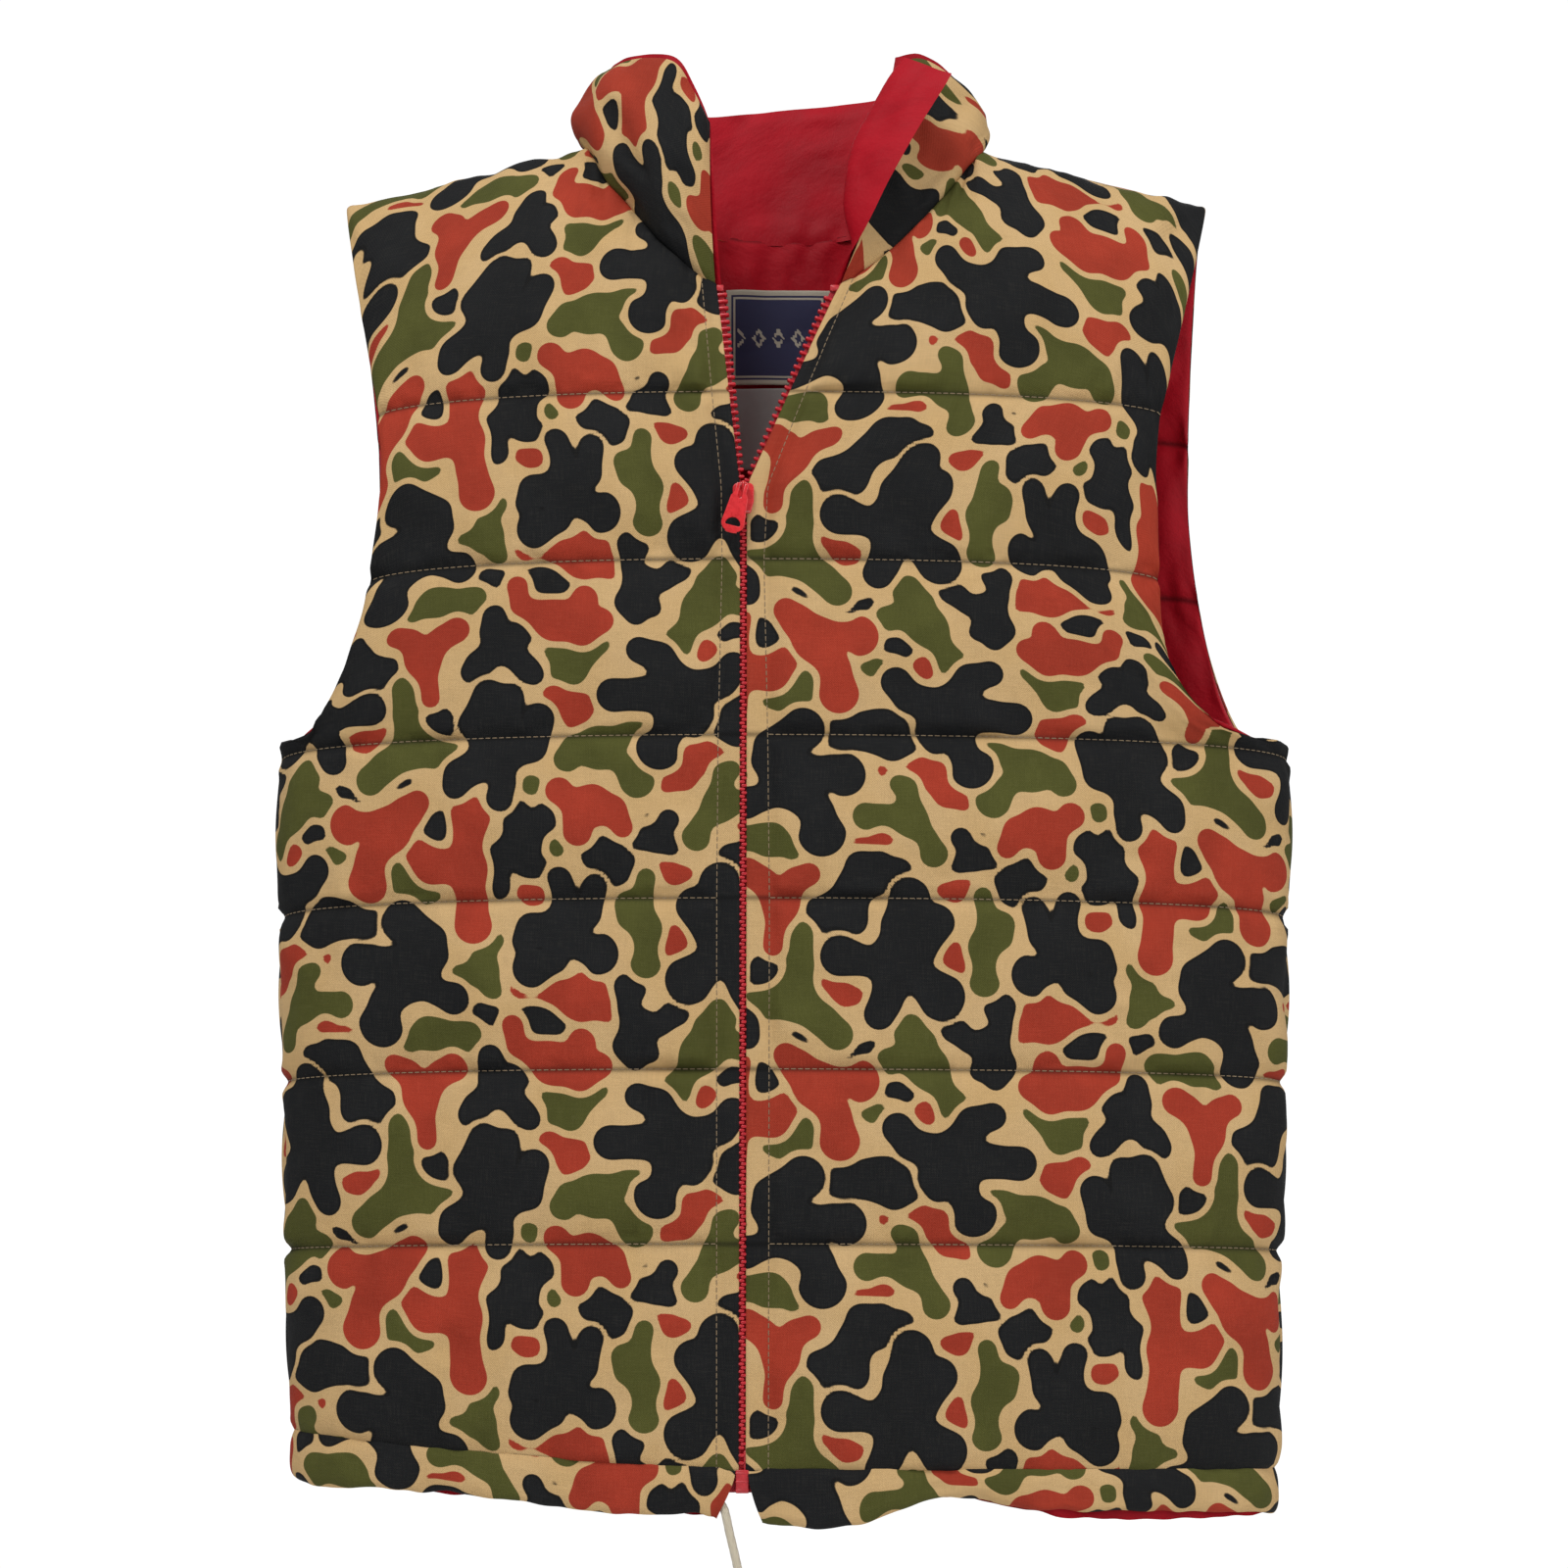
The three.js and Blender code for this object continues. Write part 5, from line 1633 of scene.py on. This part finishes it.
def show_pull():
    """A tab with a D-shaped hole, a fork round the rail, and an axle behind it."""
    low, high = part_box("zip_pull")
    axle = Vector((ZIP_X, high.y - 0.0006, high.z - 0.0006))
    tab_y = low.y + PULL_THICKNESS / 2 + 0.0002
    half = PULL_HALF_WIDTH
    foot = -PULL_LENGTH
    right_edge = [
        (PULL_SLOT, -0.0006),
        (PULL_ARM, -0.0006),
        (PULL_ARM, -0.0052),
        (PULL_ARM + 0.0014, -0.0074),
        (half - 0.0004, foot + 0.008),
        *arc(half - 0.0042, foot + 0.0048, 0.0042, 10, -70, 8),
    ]
    outline = [
        (-PULL_SLOT, -0.0068),
        *arc(0, -0.0068, PULL_SLOT, 180, 360, 8),
        *right_edge,
        *arc(0, foot + 0.0120, 0.0122, -76, -104, 5),
        *mirrored(right_edge),
    ]
    hole_half = half - PULL_RIM
    hole = [
        (-hole_half, foot + 0.0042),
        *arc(0, foot + 0.0038, hole_half, 172, 8, 14),
        (hole_half, foot + 0.0042),
        (hole_half - 0.0006, foot + 0.0036),
        (-hole_half + 0.0006, foot + 0.0036),
    ]
    place = (axle.x, tab_y, axle.z)
    meshes = [plate("pull_tab", [outline, hole], PULL_THICKNESS, 0.0004, place, PULL_LEAN)]
    cheek = [(0, 0.0001), (0.0011, 0.0001), (0.0011, -0.0014), (0, -0.0014)]
    for hand in (-1, 1):
        place = (axle.x + hand * 0.0015 - 0.00055, (axle.y + tab_y) / 2 + 0.0001, axle.z)
        meshes.append(plate("pull_cheek", [cheek], axle.y + 0.0007 - tab_y, 0.0002, place))
    axle_bar = [(-0.0016, 0.0005), (0.0016, 0.0005), (0.0016, -0.0005), (-0.0016, -0.0005)]
    meshes.append(plate("pull_axle", [axle_bar], 0.001, 0.00035, axle))
    show_enamelled("slider_pull", meshes, "pull", "zip_pull")


show_slider()
show_rail()
show_pull()

# ---- Labels ----

LABEL_CELL = 0.0011
LABEL_THICKNESS = 0.0005
LABEL_WAVE = 0.0006
LABEL_LIFT = 0.0022
LABEL_DEEPEST = 0.006
LINING_SMOOTHING = 0.006
NEAR_LABELS = {"half_width": 0.06, "lowest": -0.19}
LABEL_BORDER = 0.0024
LABEL_FRAME = (0.0042, 0.0050)
LOZENGE_PITCH = 0.0105
LOZENGE_SIZES = (0.0018, 0.0034)
LOZENGE_SLIMNESS = 0.62
LOZENGE_INSET = 0.0062
# Piece, CAD node, material, slot, gap to the lining, seed, whether it is only sewn at its top
LABELS = [
    ("neck_label_cloth", "neck_label", LABEL, "neck_label_weave", 0.0016, 71, False),
    ("care_label_cloth", "care_label", RIBBON, "care_label_weave", 0.0028, 72, True),
    ("size_label_cloth", "size_label", RIBBON, "care_label_weave", 0.0030, 73, True),
]


def lining_y(x, z):
    """Where the back lining's inner face lies at those places, smoothed."""
    points = SURFACES["back_lining"][0].reshape(-1, 3)
    near = points[(np.abs(points[:, 0]) < NEAR_LABELS["half_width"]) & (points[:, 2] > NEAR_LABELS["lowest"])]
    flat = np.stack([x.reshape(-1), z.reshape(-1)], axis=1)
    apart = np.linalg.norm(flat[:, None] - near[None][..., [0, 2]], axis=2)
    weights = np.exp(-(apart / LINING_SMOOTHING) ** 2) + 1e-9
    return ((weights * near[None, :, 1]).sum(axis=1) / weights.sum(axis=1)).reshape(x.shape)


def label_marks(x, z, width, height):
    """A pale border, a thin inner frame and a band of plain lozenges."""
    inset = np.minimum.reduce([x, width - x, z, height - z])
    frame_line = (inset > LABEL_FRAME[0]) & (inset < LABEL_FRAME[1])
    across = (x - width / 2) / LOZENGE_PITCH
    lozenge = np.abs(across - np.round(across)) * LOZENGE_PITCH + np.abs(z - height / 2) * LOZENGE_SLIMNESS
    band = (lozenge < LOZENGE_SIZES[1]) & (inset > LOZENGE_INSET) & ~(lozenge < LOZENGE_SIZES[0])
    return ((inset < LABEL_BORDER) | frame_line | band).astype(float)


def show_label(name, node, material, slot, gap, seed, sewn_at_top):
    """A woven label on the back lining."""
    low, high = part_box(node)
    width = high.x - low.x
    height = high.z - low.z
    columns = np.linspace(low.x, high.x, round(width / LABEL_CELL) + 1)
    rows = np.linspace(high.z, low.z, round(height / LABEL_CELL) + 1)
    x, z = np.meshgrid(columns, rows)
    y = np.minimum(lining_y(x, z), high.y + LABEL_DEEPEST) - gap
    y -= LABEL_WAVE * smooth_noise(x.shape, seed, 9, 9)
    if sewn_at_top:
        y -= LABEL_LIFT * ((high.z - z) / height) ** 2
    mesh = grid_mesh(name, np.stack([x, y, z], axis=2))
    flat = add_cloth(mesh, np.stack([x - low.x, z - low.z], axis=2))
    if material == LABEL:
        add_float(mesh, "border", label_marks(flat[:, 0], flat[:, 1], width, height))
    obj = declare(show(name, mesh, material), slot, "vest", node)
    obj.modifiers.new("thickness", "SOLIDIFY").thickness = LABEL_THICKNESS


for label in LABELS:
    show_label(*label)

# ---- Drawcord's tail and its knot ----

TAIL_ROUTE = [
    (-0.0330, -0.0560, -0.6790), (-0.0305, -0.0562, -0.6802), (-0.0286, -0.0566, -0.6830),
    (-0.0274, -0.0570, -0.6875), (-0.0262, -0.0574, -0.6930), (-0.0246, -0.0578, -0.6995),
    (-0.0228, -0.0580, -0.7070), (-0.0212, -0.0580, -0.7155), (-0.0202, -0.0578, -0.7250),
    (-0.0200, -0.0574, -0.7360), (-0.0206, -0.0570, -0.7480), (-0.0216, -0.0566, -0.7610),
    (-0.0226, -0.0564, -0.7750), (-0.0232, -0.0564, -0.7890), (-0.0233, -0.0566, -0.8030),
    (-0.0230, -0.0569, -0.8180), (-0.0228, -0.0570, -0.8340),
]
CORD_DIAMETER = 0.004
CORD_SIDES = 24
STRANDS = 8
BRAID_LENGTH = 0.011
BRAID_RELIEF = 0.085
KNOT_SIZE = 0.00092
KNOT_RADIUS = 0.0017
CASING_CORD_RADIUS = 0.0016
CASING_CORD_DROP = 0.0135
CASING_CORD_STEP = 0.004
CASING_CORD_LIFT_SHARE = 0.6
CASING_CORD_ENDS = (CASING_END["front_right"] - 0.014, CASING_END["front_left"] + 0.02)


def braided_tube(name, node, path, radius, closed=False):
    """A tube along a path, with strands that wind both ways and pass over each other."""
    ahead = np.gradient(path, axis=0)
    if closed:
        ahead = np.roll(path, -1, axis=0) - np.roll(path, 1, axis=0)
    ahead = unit(ahead)
    side = unit(np.cross(ahead, [0.2, 1.0, 0.1]))
    up = np.cross(side, ahead)
    along = lengths_along(path)[:, None]
    angle = np.linspace(0, 2 * np.pi, CORD_SIDES + 1)
    turns = 2 * np.pi * along / BRAID_LENGTH
    first = np.cos(STRANDS / 2 * angle[None] + turns * STRANDS / 4)
    second = np.cos(STRANDS / 2 * angle[None] - turns * STRANDS / 4)
    size = radius * (1 + BRAID_RELIEF * (np.maximum(first, second) - 0.35))
    ring = np.cos(angle)[None, :, None] * side[:, None] + np.sin(angle)[None, :, None] * up[:, None]
    points = path[:, None] + ring * size[..., None]
    around = angle[None] * radius
    cloth = np.stack([around + along * 0.5, along - around * 0.5], axis=2)
    mesh = grid_mesh(name, points)
    add_cloth(mesh, cloth)
    welded = bmesh.new()
    welded.from_mesh(mesh)
    bmesh.ops.remove_doubles(welded, verts=welded.verts, dist=1e-6)
    bmesh.ops.holes_fill(welded, edges=[edge for edge in welded.edges if edge.is_boundary], sides=0)
    bmesh.ops.recalc_face_normals(welded, faces=welded.faces)
    welded.to_mesh(mesh)
    welded.free()
    return declare(show(name, mesh, BRAID), "drawcord_braid", "vest", node)


def show_cord():
    """The tail that hangs from the hem, and the knot at its end."""
    route = smooth_path(TAIL_ROUTE, 24)
    tail = braided_tube("drawcord_tail_braid", "drawcord_tail", route, CORD_DIAMETER / 2)
    low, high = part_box("drawcord_end_knot")
    turn = np.linspace(0, 2 * np.pi, 240)
    knot_path = np.array((low + high) / 2) + KNOT_SIZE * np.stack([
        np.sin(turn) + 2 * np.sin(2 * turn),
        -1.6 * np.sin(3 * turn),
        1.25 * (np.cos(turn) - 2 * np.cos(2 * turn)),
    ], axis=1)
    knot = braided_tube("drawcord_knot_braid", "drawcord_end_knot", knot_path, KNOT_RADIUS, closed=True)


def show_cord_in_casing():
    """The rest of the drawcord, all the way round inside the casing."""
    path = np.concatenate([
        hem_stations(-1, CASING_CORD_ENDS[0], -HEM_AROUND, CASING_CORD_STEP)[0],
        hem_stations(1, -HEM_AROUND, HEM_AROUND, CASING_CORD_STEP)[0][1:],
        hem_stations(-1, HEM_AROUND, CASING_CORD_ENDS[1], CASING_CORD_STEP)[0][1:],
    ])
    front = path[:, 1] < 0
    path[:, 2] -= CASING_CORD_DROP
    path[front, 2] += CASING_CORD_LIFT_SHARE * np.maximum(0, -hem_crumple(path[front, 0], -1, False))
    braided_tube("drawcord_casing_braid", "drawcord_in_casing", path, CASING_CORD_RADIUS)


show_cord()
show_cord_in_casing()

# ---- Floor and lights ----

FLOOR_Z = -0.97
FLOOR_HALF = 0.85
AMBIENT = 0.38
BACKDROP = 1.05
LIGHT_TARGET = Vector((0, 0, -0.33))
# Name, place, size, power
LIGHTS = [
    ("key", (-0.7, -1.6, 1.7), 0.8, 33),
    ("fill", (1.6, -1.6, 0.2), 1.6, 15),
    ("behind", (0.3, 1.9, 0.8), 1.6, 12),
]


def make_floor():
    recipe = Recipe("pale_floor")
    material = recipe.look({"Base Color": (0.86, 0.86, 0.86, 1), "Roughness": 0.85})
    corners = [(-1, -1), (1, -1), (1, 1), (-1, 1)]
    mesh = bpy.data.meshes.new("floor")
    mesh.from_pydata([(x * FLOOR_HALF, y * FLOOR_HALF, FLOOR_Z) for x, y in corners], [], [(0, 1, 2, 3)])
    show("floor", mesh, material)


def make_light(name, place, size, power):
    data = bpy.data.lights.new(name, "AREA")
    data.size = size
    data.energy = power
    light = bpy.data.objects.new(name, data)
    scene.collection.objects.link(light)
    light.location = place
    light.rotation_mode = "QUATERNION"
    light.rotation_quaternion = (LIGHT_TARGET - light.location).to_track_quat("-Z", "Y")


def make_studio():
    """Lights, and a world that is brighter to the camera than to the vest."""
    for light in LIGHTS:
        make_light(*light)
    world = bpy.data.worlds.new("studio")
    scene.world = world
    world.use_nodes = True
    nodes = world.node_tree.nodes
    background = nodes["Background"].inputs
    background["Color"].default_value = (1.0, 1.0, 1.0, 1)
    path = nodes.new("ShaderNodeLightPath")
    strength = nodes.new("ShaderNodeMapRange")
    strength.inputs["To Min"].default_value = AMBIENT
    strength.inputs["To Max"].default_value = BACKDROP
    world.node_tree.links.new(path.outputs["Is Camera Ray"], strength.inputs["Value"])
    world.node_tree.links.new(strength.outputs["Result"], background["Strength"])
    scene.view_settings.view_transform = "Standard"


make_floor()
make_studio()
